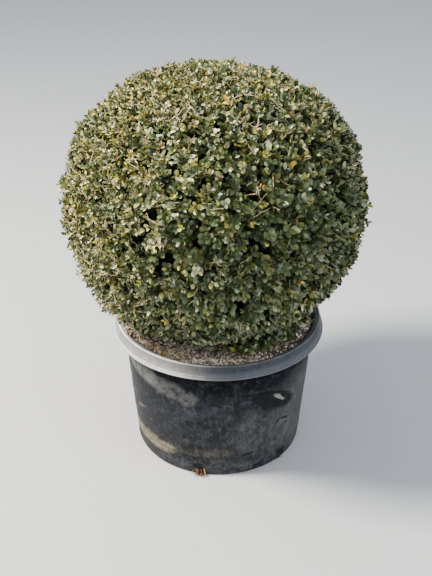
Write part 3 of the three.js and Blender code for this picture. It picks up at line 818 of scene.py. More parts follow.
def make_wood(bark):
    line = np.concatenate([[TRUNK_FOOT - UP * 0.008], trunk_line(TRUNK.steps)])
    radii = trunk_radius(np.concatenate([[0], np.linspace(0, 1, TRUNK.steps)]))
    add_mesh("trunk_bark", *knobbly(line, radii, *TRUNK_RELIEF), bark, "bark", ["trunk"])
    boughs = []
    for index in range(BOUGHS):
        line = bough_line(index)
        share = np.linspace(0, 1, len(line))
        radii = lerp(BOUGH.base - BOUGH.slimmer * index, BOUGH.tip, share) + 0.004 * np.exp(-share * 30)
        how = SIDES.bough, BOUGH_RELIEF.depth, BOUGH_RELIEF.first_seed + index, BOUGH_RELIEF.ribs
        boughs.append(knobbly(*capped_by_point(line, radii), *how))
    names = [f"bough_{i + 1}" for i in range(BOUGHS)]
    add_mesh("boughs_bark", *join_meshes(boughs), bark, "bark", names)


def golden_directions(count, lowest, scatter_turn, scatter_latitude, random):
    """Directions spread evenly over the ball by the golden angle, as in the part's source."""
    bottom = math.sin(math.radians(lowest))
    index = np.arange(count)
    height = 1 - (1 - bottom) * (index + 0.5) / count
    latitude = np.degrees(np.arcsin(height)) + scatter_latitude * (random.uniform(size=count) - 0.5)
    return toward(GOLDEN_ANGLE * index + scatter_turn * (random.uniform(size=count) - 0.5), latitude)


def make_branches(bark, random):
    """One branch towards each of the source's sprays, from the nearest limb."""
    directions = golden_directions(BRANCHES, BRANCH.lowest, BRANCH.turn, BRANCH.latitude, random)
    limbs = [bough_line(index) for index in range(BOUGHS)] + [ball_stem_line()]
    ends = np.stack([share_of(limb[-1])[1] for limb in limbs])
    near = (directions @ ends.T).argmax(axis=1)
    close = np.arccos(np.clip((directions * ends[near]).sum(axis=1), -1, 1))
    lines = []
    for direction, limb, away in zip(directions, near, close):
        line = limbs[limb]
        at = int(np.clip(0.93 - away * 0.42, 0.42, 0.93) * (len(line) - 1))
        start, end = line[at], ball_point(direction, BRANCH.end)
        heading = unit(line[at + 1] - start) + unit(end - start)
        middle = start + unit(heading) * np.linalg.norm(end - start) * 0.5
        lines.append(bezier(start, middle, end, BRANCH.steps)[0])
    lines = np.stack(lines)
    radii = lerp(BRANCH.base, BRANCH.tip, np.linspace(0, 1, BRANCH.steps))
    radii = radii * random.uniform(0.85, 1.15, (BRANCHES, 1))
    stem = capped_by_point(limbs[-1], np.linspace(STEM.base, STEM.tip, STEM.steps))
    parts = [knobbly(*stem, *STEM_RELIEF), tubes(lines, radii, SIDES.branch)]
    add_mesh("branches_bark", *join_meshes(parts), bark, "bark")
    return directions, lines


# The sprays of the ball, and its lumps and gaps
SPRAYS = 2500
SPRAY = SimpleNamespace(lowest=-66, turn=9, latitude=2.2, scatter=0.018, missing=0.03, fork=0.845, steps=5)
SPRAY_RADII = (0.0017, 0.0010)
PRONGS = 3
PRONG = SimpleNamespace(spread=0.034, tip=0.974, shorter=0.055, radii=(0.0010, 0.0008, 0.0001))
OLD_LEAF_SIZE = 1.55
LUMP_DEPTH = 0.030
LUMPS = ((0.5, 0.135, 5), (0.25, 0.06, 6))
GAP = SimpleNamespace(depth=0.056, length=0.10, seed=77, low=0.78, high=1.15)
LEAF_LIMIT = 1.008
FARTHEST_MOVE = 0.022
CLIPPED = SimpleNamespace(tried=2300, shortest=0.010, longer=0.046, pale=0.45)
STRAY = SimpleNamespace(count=90, lowest=-45, foot=0.93, limit=1.026)
STRAY_RADII = (0.0010, 0.0008, 0.0007, 0.0001)
# Two sprigs that stand out most: turn, latitude, share of the reach
SPRIGS = ((-92, 29.5, 1.012), (78, -2, 0.998))


def local_share(directions):
    """How short the ball is in a direction: its clipped surface is not quite even."""
    points = directions * BALL_REACH
    lump = np.clip(0.42 + layered(points, LUMPS), 0, 1)
    gap = smooth(waves(points, GAP.length, GAP.seed, 9), GAP.low, GAP.high)
    closed = 1 - 0.70 * pale_of(BALL_CENTRE + directions)
    return 1 - LUMP_DEPTH * lump - GAP.depth * gap * closed


def grow_forks(directions, branch_directions, branch_lines, random):
    """Where each spray leaves its branch, where it forks, and the twigs between."""
    count = len(directions)
    near = (directions @ branch_directions.T).argmax(axis=1)
    start = branch_lines[near, random.randint(5, BRANCH.steps, count)]
    reach = SPRAY.fork * local_share(directions) * random.uniform(0.975, 1.02, count)
    fork = ball_point(directions, reach)
    gap = np.linalg.norm(fork - start, axis=1)[:, None]
    middle = start + (fork - start) * 0.45 + directions * gap * 0.12 + random.normal(0, 0.006, fork.shape)
    lines = bezier(start, middle, fork, SPRAY.steps)
    return start, fork, tubes(lines, lerp(*SPRAY_RADII, np.linspace(0, 1, SPRAY.steps)), SIDES.twig)


def grow_prongs(directions, fork, random):
    """Each spray's prongs: where they start, their tips and their tints."""
    count = len(directions)
    aside = unit(np.cross(directions, UP))
    other = np.cross(directions, aside)
    spin = random.uniform(0, 2 * math.pi, count)
    pale = np.clip(pale_of(BALL_CENTRE + directions) + random.normal(0, 0.16, count), 0, 1)
    tips, tints = [], []
    for prong in range(PRONGS):
        turn = spin + prong * 2 * math.pi / PRONGS + random.normal(0, 0.35, count)
        lean = PRONG.spread * random.uniform(0.5, 1.5, count)
        outward = unit(directions + turned(aside, other, turn) * lean[:, None] + UP * 0.012)
        reach = PRONG.tip - PRONG.shorter * random.uniform(size=count) ** 1.6
        tips.append(ball_point(outward, local_share(outward) * reach))
        tints.append(deal_tints(np.clip(pale + random.normal(0, 0.15, count), 0, 1), random))
    return np.concatenate([fork] * PRONGS), np.concatenate(tips), np.concatenate(tints)


def make_sprays(branch_directions, branch_lines, random):
    """Finer twigs from each branch: sprays that fork into prongs with pairs of leaves."""
    directions = golden_directions(SPRAYS, SPRAY.lowest, SPRAY.turn, SPRAY.latitude, random)
    directions = unit(directions + random.normal(0, SPRAY.scatter, directions.shape))
    directions = directions[random.uniform(size=SPRAYS) > SPRAY.missing]
    start, fork, twigs = grow_forks(directions, branch_directions, branch_lines, random)
    bases, tips, tints = grow_prongs(directions, fork, random)
    middles = (bases + tips) / 2 + random.normal(0, 0.0022, tips.shape)
    keep = tips[:, 2] > underside(tips) + 0.012
    wood = [twigs, tubes(bezier(bases, middles, tips, 3)[keep], PRONG.radii, SIDES.tip)]
    paleness = pale_of(tips[keep])
    leaves = twig_leaves(bases[keep], tips[keep], paleness, random)
    old = twig_leaves(start, fork, np.zeros(len(fork)), random, OLD_LEAF_SIZE)
    return wood, leaves, mixed_tints(tints[keep], paleness, leaves.shape[1], random), old


def crooked(start, end, steps, wander, random):
    """Lines (n, steps, 3) from start to end that bend a little from joint to joint."""
    share = np.linspace(0, 1, steps)[None, :, None]
    lines = start[:, None] * (1 - share) + end[:, None] * share
    lines[:, 1:-1] += random.normal(0, wander, (len(start), steps - 2, 3))
    return lines


def loose_twigs(random):
    """Bare clipped twigs with short stubs that lie in the surface, more of them in the sun."""
    directions = unit(random.normal(size=(CLIPPED.tried, 3)))
    likely = (0.42 + 0.40 * pale_of(BALL_CENTRE + directions)) * (directions[:, 2] > -0.70)
    directions = directions[random.uniform(size=len(directions)) < likely]
    count = len(directions)
    base = ball_point(directions, local_share(directions) * random.uniform(0.925, 0.985, count))
    heading = unit(np.cross(directions, unit(random.normal(size=(count, 3)))) + directions * 0.45)
    length = CLIPPED.shortest + CLIPPED.longer * random.uniform(size=count) ** 2.2
    end = drawn_in(base + heading * length[:, None], 0.990)
    lines = crooked(base, end, 5, 0.0011, random)
    radii = np.linspace(1.0, 0.55, 5) * random.uniform(0.0007, 0.0012, (count, 1))
    stubs = []
    for _ in range(2):
        joint = np.arange(count), random.randint(1, 4, count)
        root = lines[joint]
        way = unit(unit(end - base) + random.normal(0, 0.75, (count, 3)) + directions * 0.3)
        tip = drawn_in(root + way * random.uniform(0.005, 0.015, (count, 1)), 0.995)
        thin = radii[joint][:, None] * np.linspace(0.75, 0.45, 3)
        stubs.append((crooked(root, tip, 3, 0.0007, random), thin))
    pale = random.uniform(size=count) < CLIPPED.pale
    pieces = []
    for some in (pale, ~pale):
        parts = [tubes(lines[some], radii[some], SIDES.twig)]
        parts += [tubes(stub[some], thin[some], SIDES.tip) for stub, thin in stubs]
        pieces.append(join_meshes(parts))
    return pieces


def make_strays(random):
    """Young shoots that have grown past the clipped surface, and the two that stand out most."""
    directions = unit(random.normal(size=(STRAY.count, 3)))
    directions = directions[directions[:, 2] > math.sin(math.radians(STRAY.lowest))]
    share = random.uniform(0.980, 1.004, len(directions))
    chosen = np.array([toward(turn, latitude) for turn, latitude, _ in SPRIGS])
    directions = np.concatenate([directions, chosen])
    share = np.concatenate([share, [sprig[2] for sprig in SPRIGS]])
    base = ball_point(directions, STRAY.foot)
    tip = ball_point(unit(directions + random.normal(0, 0.025, directions.shape)), share)
    lines = bezier(base, (base + tip) / 2 + random.normal(0, 0.0015, tip.shape), tip, 4)
    pale = pale_of(tip)
    leaves = twig_leaves(base, tip, pale, random, 1.0, 4)
    tints = mixed_tints(deal_tints(pale, random), pale, leaves.shape[1], random)
    tints[-len(SPRIGS)] = list(TINTS).index("yellow_green")
    return tubes(lines, STRAY_RADII, SIDES.tip), *inside_ball(leaves, tints, STRAY.limit)


# The low shoots on the soil
SHOOT_TURNS = (24, 62, 110, 160, -140, -66)
SHOOT_FORKS = (28, 24, 16, 16, 16, 20)
SHOOT = SimpleNamespace(height=0.335, start=0.026, end=0.186, rise=0.008, radius=0.0024, steps=12)
SHOOT_SIDE = SimpleNamespace(radii=(0.0014, 0.0008), steps=5, twigs=6)
SHOOT_TWIG_RADII = (0.0009, 0.0007, 0.0001)
SHOOT_LIMIT = CREST_RADIUS - 0.016


def shoot_room(points):
    """True for leaves and twigs below the ball's underside or outside it, within the rim."""
    below = (points[..., 2] < BALL_UNDERSIDE).all(axis=1)
    outside = (share_of(points)[0] > 1.0).all(axis=1)
    within = (np.hypot(points[..., 0], points[..., 1]) < SHOOT_LIMIT).all(axis=1)
    above_soil = (points[..., 2] > SOIL_LEVEL - 0.001).all(axis=1)
    return (below | outside) & within & above_soil


def make_shoots(random):
    wood, bases, tips = [], [], []
    for turn, forks in zip(SHOOT_TURNS, SHOOT_FORKS):
        outward = toward(turn, 0)
        start = outward * SHOOT.start + UP * SHOOT.height
        end = outward * SHOOT.end + UP * (SHOOT.height + SHOOT.rise)
        middle = lerp(start, end, 0.6) + toward(turn + 90, 0) * 0.014 * (random.uniform() - 0.5)
        middle[2] = SHOOT.height
        stem = bezier(start, middle, end, SHOOT.steps)
        wood.append(tubes(stem, np.linspace(SHOOT.radius, SHOOT.radius / 2, SHOOT.steps), SIDES.low_shoot))
        for fork in range(forks):
            root = stem[0, int(random.uniform(0.30, 1.0) * (SHOOT.steps - 1))]
            heading = turn + random.uniform(18, 62) * (1 if fork % 2 else -1)
            reach = random.uniform(0.035, 0.085)
            side_tip = root + toward(heading, random.uniform(-4, 16)) * reach
            side = bezier(root, lerp(root, side_tip, 0.5) + UP * 0.003, side_tip, SHOOT_SIDE.steps)
            wood.append(tubes(side, np.linspace(*SHOOT_SIDE.radii, SHOOT_SIDE.steps), SIDES.side_shoot))
            for _ in range(SHOOT_SIDE.twigs):
                base = side[0, random.randint(1, SHOOT_SIDE.steps)]
                lift = random.uniform(2, 55)
                way = toward(heading + random.uniform(-75, 75), lift)
                bases.append(base)
                tips.append(base + way * random.uniform(0.02, 0.045))
    bases, tips = np.array(bases), np.array(tips)
    inside = np.hypot(tips[:, 0], tips[:, 1]) < SHOOT_LIMIT - 0.004
    bases, tips = bases[inside], tips[inside]
    lines = bezier(bases, (bases + tips) / 2, tips, 3)
    room = shoot_room(lines)
    wood.append(tubes(lines[room], SHOOT_TWIG_RADII, SIDES.tip))
    pale = 0.5 * pale_of(tips[room])
    leaves = twig_leaves(bases[room], tips[room], pale, random, 1.0, 4)
    tints = mixed_tints(deal_tints(pale, random), pale, leaves.shape[1], random).ravel()
    leaves = leaves.reshape(-1, CORNERS, 3)
    room = shoot_room(leaves)
    return wood, leaves[room], tints[room]


def add_leaves(leaves, tints):
    """The leaves of each tint as one piece."""
    for index, (name, tint) in enumerate(TINTS.items()):
        material = plain_material(f"leaf_{name}", tint[0], tint[1], 0.16)
        chosen = leaves[tints == index]
        chosen = chosen[:, :1] + (chosen - chosen[:, :1]) * SMALLER_LEAVES.get(name, 1.0)
        soft = np.repeat(pale_of(chosen[:, MIDDLE]) < SOFT_LEAVES, len(LEAF_FACES))
        add_mesh(f"leaves_{name}", *leaf_mesh(chosen), material, "box_leaves", rounded=soft)


def make_foliage(bark):
    random = np.random.RandomState(SEEDS.foliage)
    wood, leaves, tints, old = make_sprays(*make_branches(bark, random), random)
    ball = inside_ball(leaves, tints, LEAF_LIMIT)
    stray_wood, *strays = make_strays(random)
    shoot_wood, *low = make_shoots(random)
    brown = plain_material("twig_brown", (122, 108, 74), 0.7)
    pale = plain_material("twig_pale", (180, 163, 124), 0.7)
    add_mesh("ball_twigs", *join_meshes(wood + [stray_wood]), brown, "bark", ["foliage_ball"])
    shoots = [f"low_shoot_{i + 1}" for i in range(len(SHOOT_TURNS))]
    add_mesh("low_shoot_twigs", *join_meshes(shoot_wood), brown, "bark", shoots)
    pale_twigs, brown_twigs = loose_twigs(random)
    add_mesh("clipped_twigs_pale", *pale_twigs, pale, "bark")
    add_mesh("clipped_twigs_brown", *brown_twigs, brown, "bark")
    old = inside_ball(old, np.zeros(old.shape[:2]), LEAF_LIMIT)[0]
    inner = plain_material("leaf_inner", (52, 62, 38), 0.5)
    add_mesh("leaves_inner", *leaf_mesh(old, INNER_FACES), inner, "box_leaves", rounded=False)
    add_leaves(*(np.concatenate(sets) for sets in zip(ball, strays, low)))


# The pot
POT_SEGMENTS = 288
SLOT = SimpleNamespace(count=6, first=-13, width=0.031, height=0.034, depth=0.022, corner=0.005)
GROOVE = SimpleNamespace(height=0.050, depth=0.0016, width=0.0022)
FOOT = 0.006
FLOOR_TOP = 0.004
FLAT_RADIUS = 0.10
HOOK_HEIGHT = 0.3215
# Rows of the profile: heights up the wall, as from, to and step
WALL_STEPS = (
    (0.008, 0.044, 0.004),
    (0.044, 0.056, 0.0015),
    (0.056, 0.168, 0.004),
    (0.168, 0.236, 0.0016),
    (0.236, 0.32, 0.004),
)
# The collar: how far out from the wall, the crest or the rim, and the height
HOOK_FROM_WALL = ((0.0, 0.3215), (0.003, 0.3250))
HOOK_FROM_CREST = ((-0.004, 0.3285), (-0.001, 0.3285), (0.003, 0.3240))
BEAD_FROM_RIM = (
    (-0.0042, 0.3120),
    (-0.0034, 0.3030),
    (-0.0032, 0.3022),
    (-0.0026, 0.3020),
    (-0.0018, 0.3020),
    (-0.0008, 0.3024),
    (-0.0002, 0.3034),
    (0.0, 0.3048),
    (-0.0003, 0.3062),
    (-0.0011, 0.3072),
    (-0.0024, 0.3078),
    (-0.0027, 0.3084),
    (-0.0024, 0.3090),
    (-0.0016, 0.3094),
    (-0.0013, 0.3102),
    (-0.0016, 0.3112),
    (-0.0028, 0.3118),
)
CREST_FROM_TOP = (
    (0.0033, -0.0034),
    (0.0026, -0.0018),
    (0.0012, -0.0005),
    (0.0, 0.0),
    (-0.0012, -0.0004),
    (-0.0021, -0.0014),
    (-0.0070, -0.0028),
    (-0.0100, -0.0044),
)
LIP_FROM_WALL = ((-0.0014, 0.3245), (-0.0028, 0.3222), (-WALL, 0.3205))


def dent_place(points, turn, height, length, width, slant):
    """Where points lie in a dent: along it, across it, both as shares of its half sizes."""
    turn = np.arctan2(points[:, 0], -points[:, 1]) - math.radians(turn)
    turn = (turn + math.pi) % (2 * math.pi) - math.pi
    across = turn * wall_radius(height)
    rise = points[:, 2] - height
    slant = math.radians(slant)
    along = (across * math.cos(slant) + rise * math.sin(slant)) / length
    aside = (rise * math.cos(slant) - across * math.sin(slant)) / width
    return along, aside


def push_dents(points):
    """Pushes the wall in at the long dent and at a few small ones, and out at the fold."""
    radius = np.hypot(points[:, 0], points[:, 1])
    on_wall = (radius > BASE_RADIUS / 2) & (points[:, 2] < COLLAR_BOTTOM - 0.004)
    along, aside = dent_place(points, **DENT)
    push = DENT_DEPTH * np.clip(1 - along**2 - aside**2, 0, 1) ** 0.9
    along, aside = dent_place(points, **FACET)
    push = push - FACET_RISE * np.clip(1 - along**2 - ((aside + 0.6) / 1.2) ** 2, 0, 1) ** 0.8
    for turn, height, length, width, depth, slant in SMALL_DENTS:
        along, aside = dent_place(points, turn, height, length, width, slant)
        push = push + depth * np.clip(1 - along**2 - aside**2, 0, 1) ** 1.5
    soft = layered(points, WALL_WAVES) * smooth(points[:, 2], 0.0, 0.03)
    away = np.where(on_wall, push + soft, 0)
    points[:, :2] *= (1 - away / np.maximum(radius, 1e-6))[:, None]
    return points


def rows_from(rows, radius, height=0.0):
    return [(radius + out, height + up) for out, up in rows]


def pot_profile():
    """[radius, height] up the outside, over the crest and down the inside."""
    bends = np.radians(np.linspace(0, 80, 6))
    arc = [(BASE_RADIUS - FOOT + FOOT * math.sin(a), FOOT - FOOT * math.cos(a)) for a in bends]
    heights = np.concatenate([np.arange(*steps) for steps in WALL_STEPS])
    grooves = [GROOVE.depth * math.exp(-(((h - GROOVE.height) / GROOVE.width) ** 2)) for h in heights]
    wall_rows = [(float(wall_radius(h) - g), float(h)) for h, g in zip(heights, grooves)]
    flank = [
        (lerp(RIM_RADIUS - 0.0030, CREST_RADIUS + 0.0030, s) - 0.0014 * math.sin(math.pi * s),
         lerp(0.3126, POT_HEIGHT - 0.0044, s))
        for s in np.linspace(0, 1, 9)
    ]
    return [
        (0.0, 0.0),
        (FLAT_RADIUS, 0.0),
        *arc,
        *wall_rows,
        *rows_from(HOOK_FROM_WALL, wall_radius(HOOK_HEIGHT)),
        *rows_from(HOOK_FROM_CREST, CREST_RADIUS),
        *rows_from(BEAD_FROM_RIM, RIM_RADIUS),
        *flank,
        *rows_from(CREST_FROM_TOP, CREST_RADIUS, POT_HEIGHT),
        *rows_from(LIP_FROM_WALL, wall_radius(HOOK_HEIGHT)),
        *((r - WALL, h) for r, h in reversed(wall_rows[::4]) if h < 0.317),
        (BASE_RADIUS - FOOT, FLOOR_TOP),
        (FLAT_RADIUS, FLOOR_TOP),
        (0.0, FLOOR_TOP),
    ]


def lathe(profile, segments):
    """A closed turned mesh whose profile starts and ends on the axis."""
    ring = np.array(profile[1:-1])
    rings = level_rings(ring[:, 0], ring[:, 1], segments)
    ends = [[0, 0, profile[0][1]], [0, 0, profile[-1][1]]]
    return np.concatenate([rings.reshape(-1, 3), ends]), closed_faces(rings)


def slot_cutter(index):
    """A block with rounded upper corners that cuts one drainage slot, all triangles."""
    half, top, corner = SLOT.width / 2, SLOT.height, SLOT.corner
    bends = np.radians(np.linspace(0, 90, 5))
    arc = [(half - corner + corner * math.cos(a), top - corner + corner * math.sin(a)) for a in bends]
    outline = [(-half, -0.002), (half, -0.002)] + arc + [(-x, z) for x, z in reversed(arc)]
    turn = SLOT.first + 360 / SLOT.count * index
    outward, aside = toward(turn, 0), toward(turn + 90, 0)
    rings = [
        [outward * (BASE_RADIUS + depth) + aside * x + UP * z for x, z in outline]
        for depth in (-SLOT.depth / 2, SLOT.depth / 2)
    ]
    count = len(outline)
    faces = [(0, i + 1, i) for i in range(1, count - 1)]
    faces += [(count, count + i, count + i + 1) for i in range(1, count - 1)]
    for i in range(count):
        j = (i + 1) % count
        faces += [(i, j, count + j), (i, count + j, count + i)]
    return np.array(rings).reshape(-1, 3), np.array(faces)[:, ::-1]


def cut(target, cutter):
    modifier = target.modifiers.new("cut", "BOOLEAN")
    modifier.object = cutter
    modifier.operation = "DIFFERENCE"
    modifier.solver = "MANIFOLD"
    bpy.context.view_layer.update()
    evaluated = target.evaluated_get(bpy.context.evaluated_depsgraph_get())
    result = bpy.data.meshes.new_from_object(evaluated)
    target.modifiers.clear()
    target.data = result
    bpy.data.objects.remove(cutter)


def make_pot(material):
    points, faces = lathe(pot_profile(), POT_SEGMENTS)
    pot = add_object("pot_shell", mesh_of("pot_shell", push_dents(points), faces))
    points, faces = join_meshes([slot_cutter(i) for i in range(SLOT.count)])
    cut(pot, add_object("cutter", mesh_of("cutter", points, faces.tolist())))
    pot.data.shade_smooth()
    pot.data.set_sharp_from_angle(angle=math.radians(38))
    pot.data.materials.clear()
    pot.data.materials.append(material)
    pot.data.polygons.foreach_set("material_index", np.zeros(len(pot.data.polygons), dtype=np.int32))
    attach(pot, BODY)
    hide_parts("pot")


# The soil and what lies on it
SOIL_EDGE_HEIGHT = 0.3145
SOIL_EDGE = wall_radius(SOIL_EDGE_HEIGHT) - WALL
SOIL_SEGMENTS = 300
SOIL_UNDERSIDE = 0.285
SOIL_CRUMBS = ((0.0016, 0.012, 41, 12), (0.0011, 0.006, 42, 14))
LIP_LEVEL = POT_HEIGHT - 0.0028
HEAPS = (
    SimpleNamespace(turn=-52, distance=0.190, spread=0.070, height=0.009),
    SimpleNamespace(turn=80, distance=0.205, spread=0.080, height=0.006),
)
PILE = SimpleNamespace(turn=-64, width=26, height=0.008)
# Where the litter has gathered: turn, distance, how far it spreads along and across, share
HEAP_CLUMPS = (
    (-70, 0.225, 0.013, 0.0025, 0.14),
    (-68, 0.214, 0.014, 0.0045, 0.14),
    (-62, 0.198, 0.016, 0.0090, 0.22),
    (-53, 0.212, 0.011, 0.0045, 0.12),
    (-44, 0.209, 0.012, 0.0045, 0.14),
    (-29, 0.209, 0.022, 0.0035, 0.18),
    (-40, 0.195, 0.060, 0.0120, 0.06),
)
# Chips: how many, sizes, flatness
CRUMBS = (3600, (0.0020, 0.0058), (0.2, 0.5))
GRIT = (4400, (0.0020, 0.0060), (0.4, 0.8))
HEAPED_GRIT = (520, (0.0022, 0.0062), (0.2, 0.5))
# Fallen leaves: name, colours, how many lie scattered and how many in the clumps
FALLEN_LEAVES = (
    ("cream", (214, 192, 158), (248, 234, 206), 60, 300),
    ("tan", (134, 109, 86), (200, 170, 138), 120, 260),
)
CHIP_POINTS = np.array(
    [(-1, -0.6, -1), (1, -1, -1), (0.9, 1, -1), (-0.8, 0.8, -1)]
    + [(-0.8, -0.7, 1), (0.8, -0.8, 1), (1, 0.7, 1), (-1, 0.9, 1)]
)
CHIP_FACES = np.array(
    [(0, 3, 2, 1), (4, 5, 6, 7), (0, 1, 5, 4), (1, 2, 6, 5), (2, 3, 7, 6), (3, 0, 4, 7)]
)


def soil_height(x, y):
    raised = 0.0
    for heap in HEAPS:
        middle = toward(heap.turn, 0) * heap.distance
        away = np.hypot(x - middle[0], y - middle[1]) / heap.spread
        raised = raised + heap.height * np.exp(-away * away)
    ripple = 0.0016 * np.sin(x / 0.017) * np.cos(y / 0.021)
    mound = 0.006 * np.clip(1 - (np.hypot(x, y) / 0.046 - 1) / 3, 0, 1)
    return SOIL_LEVEL + mound + raised + ripple


def make_soil(material):
    edge = SOIL_EDGE - 0.0004
    radii = edge * np.linspace(0, 1, 74)[1:] ** 0.85
    rings = level_rings(radii, 0 * radii, SOIL_SEGMENTS)
    x, y = rings[..., 0], rings[..., 1]
    crumbs = layered(rings, SOIL_CRUMBS)
    fall = smooth(np.hypot(x, y), edge - 0.010, edge)
    rings[..., 2] = soil_height(x, y) + crumbs * (1 - fall) - 0.0035 * fall
    skirt = rings[-1:] * (0.985, 0.985, 0.0) + UP * SOIL_UNDERSIDE
    rings = np.concatenate([rings, skirt])
    ends = [[0, 0, soil_height(0.0, 0.0)], [0, 0, SOIL_UNDERSIDE]]
    points = np.concatenate([rings.reshape(-1, 3), ends])
    mesh = mesh_of("soil_surface", points, closed_faces(rings, inward=True))
    mesh.shade_smooth()
    mesh.materials.append(material)
    soil = add_object("soil_surface", mesh)
    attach(soil, BODY)
    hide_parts("potting_soil")


def scatter_on_soil(count, random, lowest=0.05):
    """Places on the soil, evenly out to the rim from a share of its area."""
    radius = (SOIL_EDGE - 0.006) * np.sqrt(random.uniform(lowest, 1, count))
    turn = random.uniform(-math.pi, math.pi, count)
    x, y = radius * np.sin(turn), -radius * np.cos(turn)
    return x, y, soil_height(x, y)


def heap_places(count, random):
    """Places where litter has gathered, along the inside of the wall at the front left."""
    table = np.array(HEAP_CLUMPS)
    clump = table[random.choice(len(table), count, p=table[:, 4])]
    radius = np.minimum(clump[:, 1] + random.normal(0, 1, count) * clump[:, 3], CREST_RADIUS - 0.008)
    turn = clump[:, 0] + np.degrees(random.normal(0, 1, count) * clump[:, 2] / clump[:, 1])
    place = toward(turn, 0.0 * turn) * radius[:, None]
    pile = PILE.height * smooth(radius, 0.190, 0.221) * np.exp(-(((turn - PILE.turn) / PILE.width) ** 2))
    level = soil_height(place[:, 0], place[:, 1]) + pile * random.uniform(0.2, 1, count)
    on_lip = LIP_LEVEL + random.uniform(-0.001, 0.0006, count)
    on_wall = radius > wall_radius(SOIL_EDGE_HEIGHT) - 0.005
    return place[:, 0], place[:, 1], np.where(on_wall, on_lip, level)


def headings(spin, tip):
    return np.stack([np.cos(spin) * np.cos(tip), np.sin(spin) * np.cos(tip), np.sin(tip)], axis=-1)


def chips(places, sizes, flatness, random):
    """Uneven blocks that lie on the soil, each tipped a little."""
    x, y, z = places
    count = len(x)
    size = random.uniform(*sizes, count)
    spin = random.uniform(0, 2 * math.pi, count)
    tip, lean = random.normal(0, 0.35, count), random.normal(0, 0.35, count)
    axis = headings(spin, tip)
    side = unit(np.cross(np.stack([np.sin(lean), 0 * lean, np.cos(lean)], axis=-1), axis))
    shape = CHIP_POINTS[None] * random.uniform(0.7, 1.15, (count, len(CHIP_POINTS), 3))
    width = random.uniform(0.35, 0.8, count)
    thick = random.uniform(*flatness, count)
    points = np.stack([x, y, z + size * thick * 0.3], axis=-1)[:, None]
    ways = ((axis, size / 2), (side, size * width / 2), (np.cross(axis, side), size * thick / 2))
    for column, (way, reach) in enumerate(ways):
        points = points + way[:, None] * (shape[..., column:column + 1] * reach[:, None, None])
    faces = CHIP_FACES[None] + len(CHIP_POINTS) * np.arange(count)[:, None, None]
    return points.reshape(-1, 3), faces.reshape(-1, 4)


def fallen_leaves(places, random):
    x, y, z = places
    count = len(x)
    spin = random.uniform(0, 2 * math.pi, count)
    axis = headings(spin, random.normal(0.05, 0.22, count))
    facing = unit(UP + random.normal(0, 0.35, (count, 3)))
    size = random.uniform(0.35, 0.80, count)
    root = np.stack([x, y, z + 0.0025], axis=-1)
    cup = random.normal(0.16, 0.12, count)
    bend = random.normal(0, 0.1, count)
    points = leaf_points(root, axis, facing, 0.0145 * size, 0.0095 * size, cup, bend)
    inside = (np.hypot(points[..., 0], points[..., 1]) < CREST_RADIUS - 0.003).all(axis=1)
    points[..., 2] = np.maximum(points[..., 2], soil_height(points[..., 0], points[..., 1]) - 0.0005)
    points[..., 2] = np.minimum(points[..., 2], POT_HEIGHT - 0.001)
    return points[inside]


def make_litter():
    random = np.random.RandomState(SEEDS.litter)
    brown = chip_material("chip_bark", (92, 76, 65), (216, 193, 170))
    pale = chip_material("chip_pale", (226, 206, 184), (254, 244, 228))
    crumbs = chips(scatter_on_soil(CRUMBS[0], random), *CRUMBS[1:], random)
    add_mesh("bark_chips", *crumbs, brown, "potting_soil", angle=30)
    places = np.array(scatter_on_soil(GRIT[0], random))
    kept = random.uniform(size=places.shape[1]) < 1 - 0.74 * smooth(places[0], 0.02, 0.10)
    grit = [chips(places[:, kept], *GRIT[1:], random)]
    grit.append(chips(heap_places(HEAPED_GRIT[0], random), *HEAPED_GRIT[1:], random))
    add_mesh("pale_grit", *join_meshes(grit), pale, "potting_soil", angle=30)
    for name, dark, light, scattered, heaped in FALLEN_LEAVES:
        material = chip_material(f"fallen_leaf_{name}", dark, light)
        leaves = [fallen_leaves(scatter_on_soil(scattered, random, 0.3), random)]
        leaves.append(fallen_leaves(heap_places(heaped, random), random))
        mesh = leaf_mesh(np.concatenate(leaves))
        add_mesh(f"fallen_leaves_{name}", *mesh, material, "box_leaves", rounded=False)


# The roots at the drainage slots: how many at each, and how far they spill out
SLOT_ROOTS = (96, 14, 40, 26, 44, 10)
SPILL = (0.014, 0.004, 0.008, 0.004, 0.010, 0.001)
ROOT_STEPS = 7


def make_mix_with_painted_shade():
    """The potting mix that shows behind the slots, near black as painted shade inside them."""
    rows = np.linspace(0.005, 0.050, 10)
    ring = level_rings(BASE_RADIUS - 0.0085 + 0 * rows, rows, 240)
    ring[..., :2] *= 1 + 0.010 * waves(ring, 0.010, 62)[..., None]
    index = np.arange(ring.size // 3).reshape(len(rows), -1)
    dark = chip_material("mix_and_shade_behind_slots", (10, 8, 7), (26, 20, 16))
    add_mesh("mix_and_shade_behind_slots", ring.reshape(-1, 3), between_rings(index), dark, "potting_soil")


def root_line(turn, spill, random):
    """A fine root from inside a slot to a little outside it, down to the ground."""
    at = turn + math.degrees(random.uniform(-0.013, 0.013) / BASE_RADIUS)
    out = toward(at, 0)
    start = out * (BASE_RADIUS - random.uniform(0.006, 0.014)) + UP * random.uniform(0.006, 0.025)
    end = out * (BASE_RADIUS + random.uniform(-0.004, spill))
    end = end + UP * (0.001 + 0.014 * random.uniform() ** 2.6)
    end = end + toward(at + 90, 0) * random.normal(0, 0.004)
    middle = (start + end) / 2 + out * random.uniform(0, 0.005) + random.normal(0, 0.004, 3)
    middle[2] = max(middle[2], 0.002)
    return bezier(start, middle, end, ROOT_STEPS)[0]


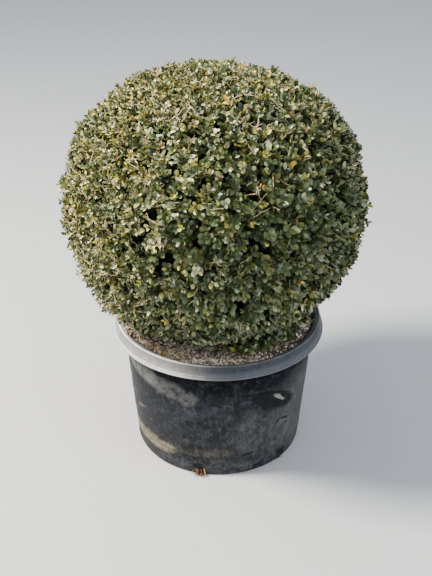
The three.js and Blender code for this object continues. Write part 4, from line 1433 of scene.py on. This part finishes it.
def make_roots():
    random = np.random.RandomState(SEEDS.roots)
    make_mix_with_painted_shade()
    lines, radii = [], []
    for slot, (roots, spill) in enumerate(zip(SLOT_ROOTS, SPILL)):
        for _ in range(roots):
            lines.append(root_line(SLOT.first + 360 / SLOT.count * slot, spill, random))
            radii.append(np.linspace(1, 0.4, ROOT_STEPS) * random.uniform(0.0005, 0.0014))
    lines, radii = np.array(lines), np.array(radii)
    pale = random.uniform(size=len(lines)) < 0.14
    rust = chip_material("root_rust", (46, 30, 20), (112, 74, 46))
    cream = chip_material("root_cream", (126, 102, 74), (200, 174, 134))
    add_mesh("drainage_roots", *tubes(lines[~pale], radii[~pale], SIDES.root), rust, "bark")
    add_mesh("drainage_roots_pale", *tubes(lines[pale], radii[pale], SIDES.root), cream, "bark")


# Camera, light and floor
# The camera's focal length is in pixels, like the long side of the picture
CAMERA = SimpleNamespace(place=(-0.0059, -1.7945, 1.3716), down=28.53, focal=865, long_side=576)
AIM = (0, 0, 0.5)
LIGHTS = (
    ("key", (-2.50, -0.38, 3.40), 1.0, 556, (1.0, 0.95, 0.87)),
    ("fill", (2.8, -1.8, 2.4), 2.6, 70, (0.92, 0.95, 1.0)),
)
SKY = {"Color": (0.88, 0.93, 1.0, 1.0), "Strength": 0.96}
FLOOR_HALF = 9.0


def make_camera():
    data = bpy.data.cameras.new("camera")
    data.sensor_width = 36.0
    data.lens = data.sensor_width * CAMERA.focal / CAMERA.long_side
    data.clip_start, data.clip_end = 0.05, 60.0
    camera = add_object("camera", data)
    camera.location = CAMERA.place
    camera.rotation_euler = (math.radians(90 - CAMERA.down), 0, 0)
    bpy.context.scene.camera = camera


def make_lights():
    for name, place, size, power, colour in LIGHTS:
        data = bpy.data.lights.new(name, "AREA")
        data.shape, data.size, data.energy, data.color = "DISK", size, power, colour
        light = add_object(name, data)
        light.location = place
        light.rotation_euler = (Vector(AIM) - Vector(place)).to_track_quat("-Z", "Y").to_euler()
    world = bpy.data.worlds.new("studio")
    world.use_nodes = True
    for name, value in SKY.items():
        world.node_tree.nodes["Background"].inputs[name].default_value = value
    bpy.context.scene.world = world


def make_floor():
    corners = [(FLOOR_HALF * x, FLOOR_HALF * y, 0) for x, y in ((-1, -1), (1, -1), (1, 1), (-1, 1))]
    mesh = mesh_of("floor", corners, [(0, 1, 2, 3)])
    mesh.materials.append(plain_material("floor_pale", (186, 187, 189), 0.9))
    add_object("floor", mesh)


make_camera()
make_lights()
make_floor()
bark = bark_material()
make_pot(pot_material())
make_soil(soil_material())
make_litter()
make_roots()
make_wood(bark)
make_foliage(bark)
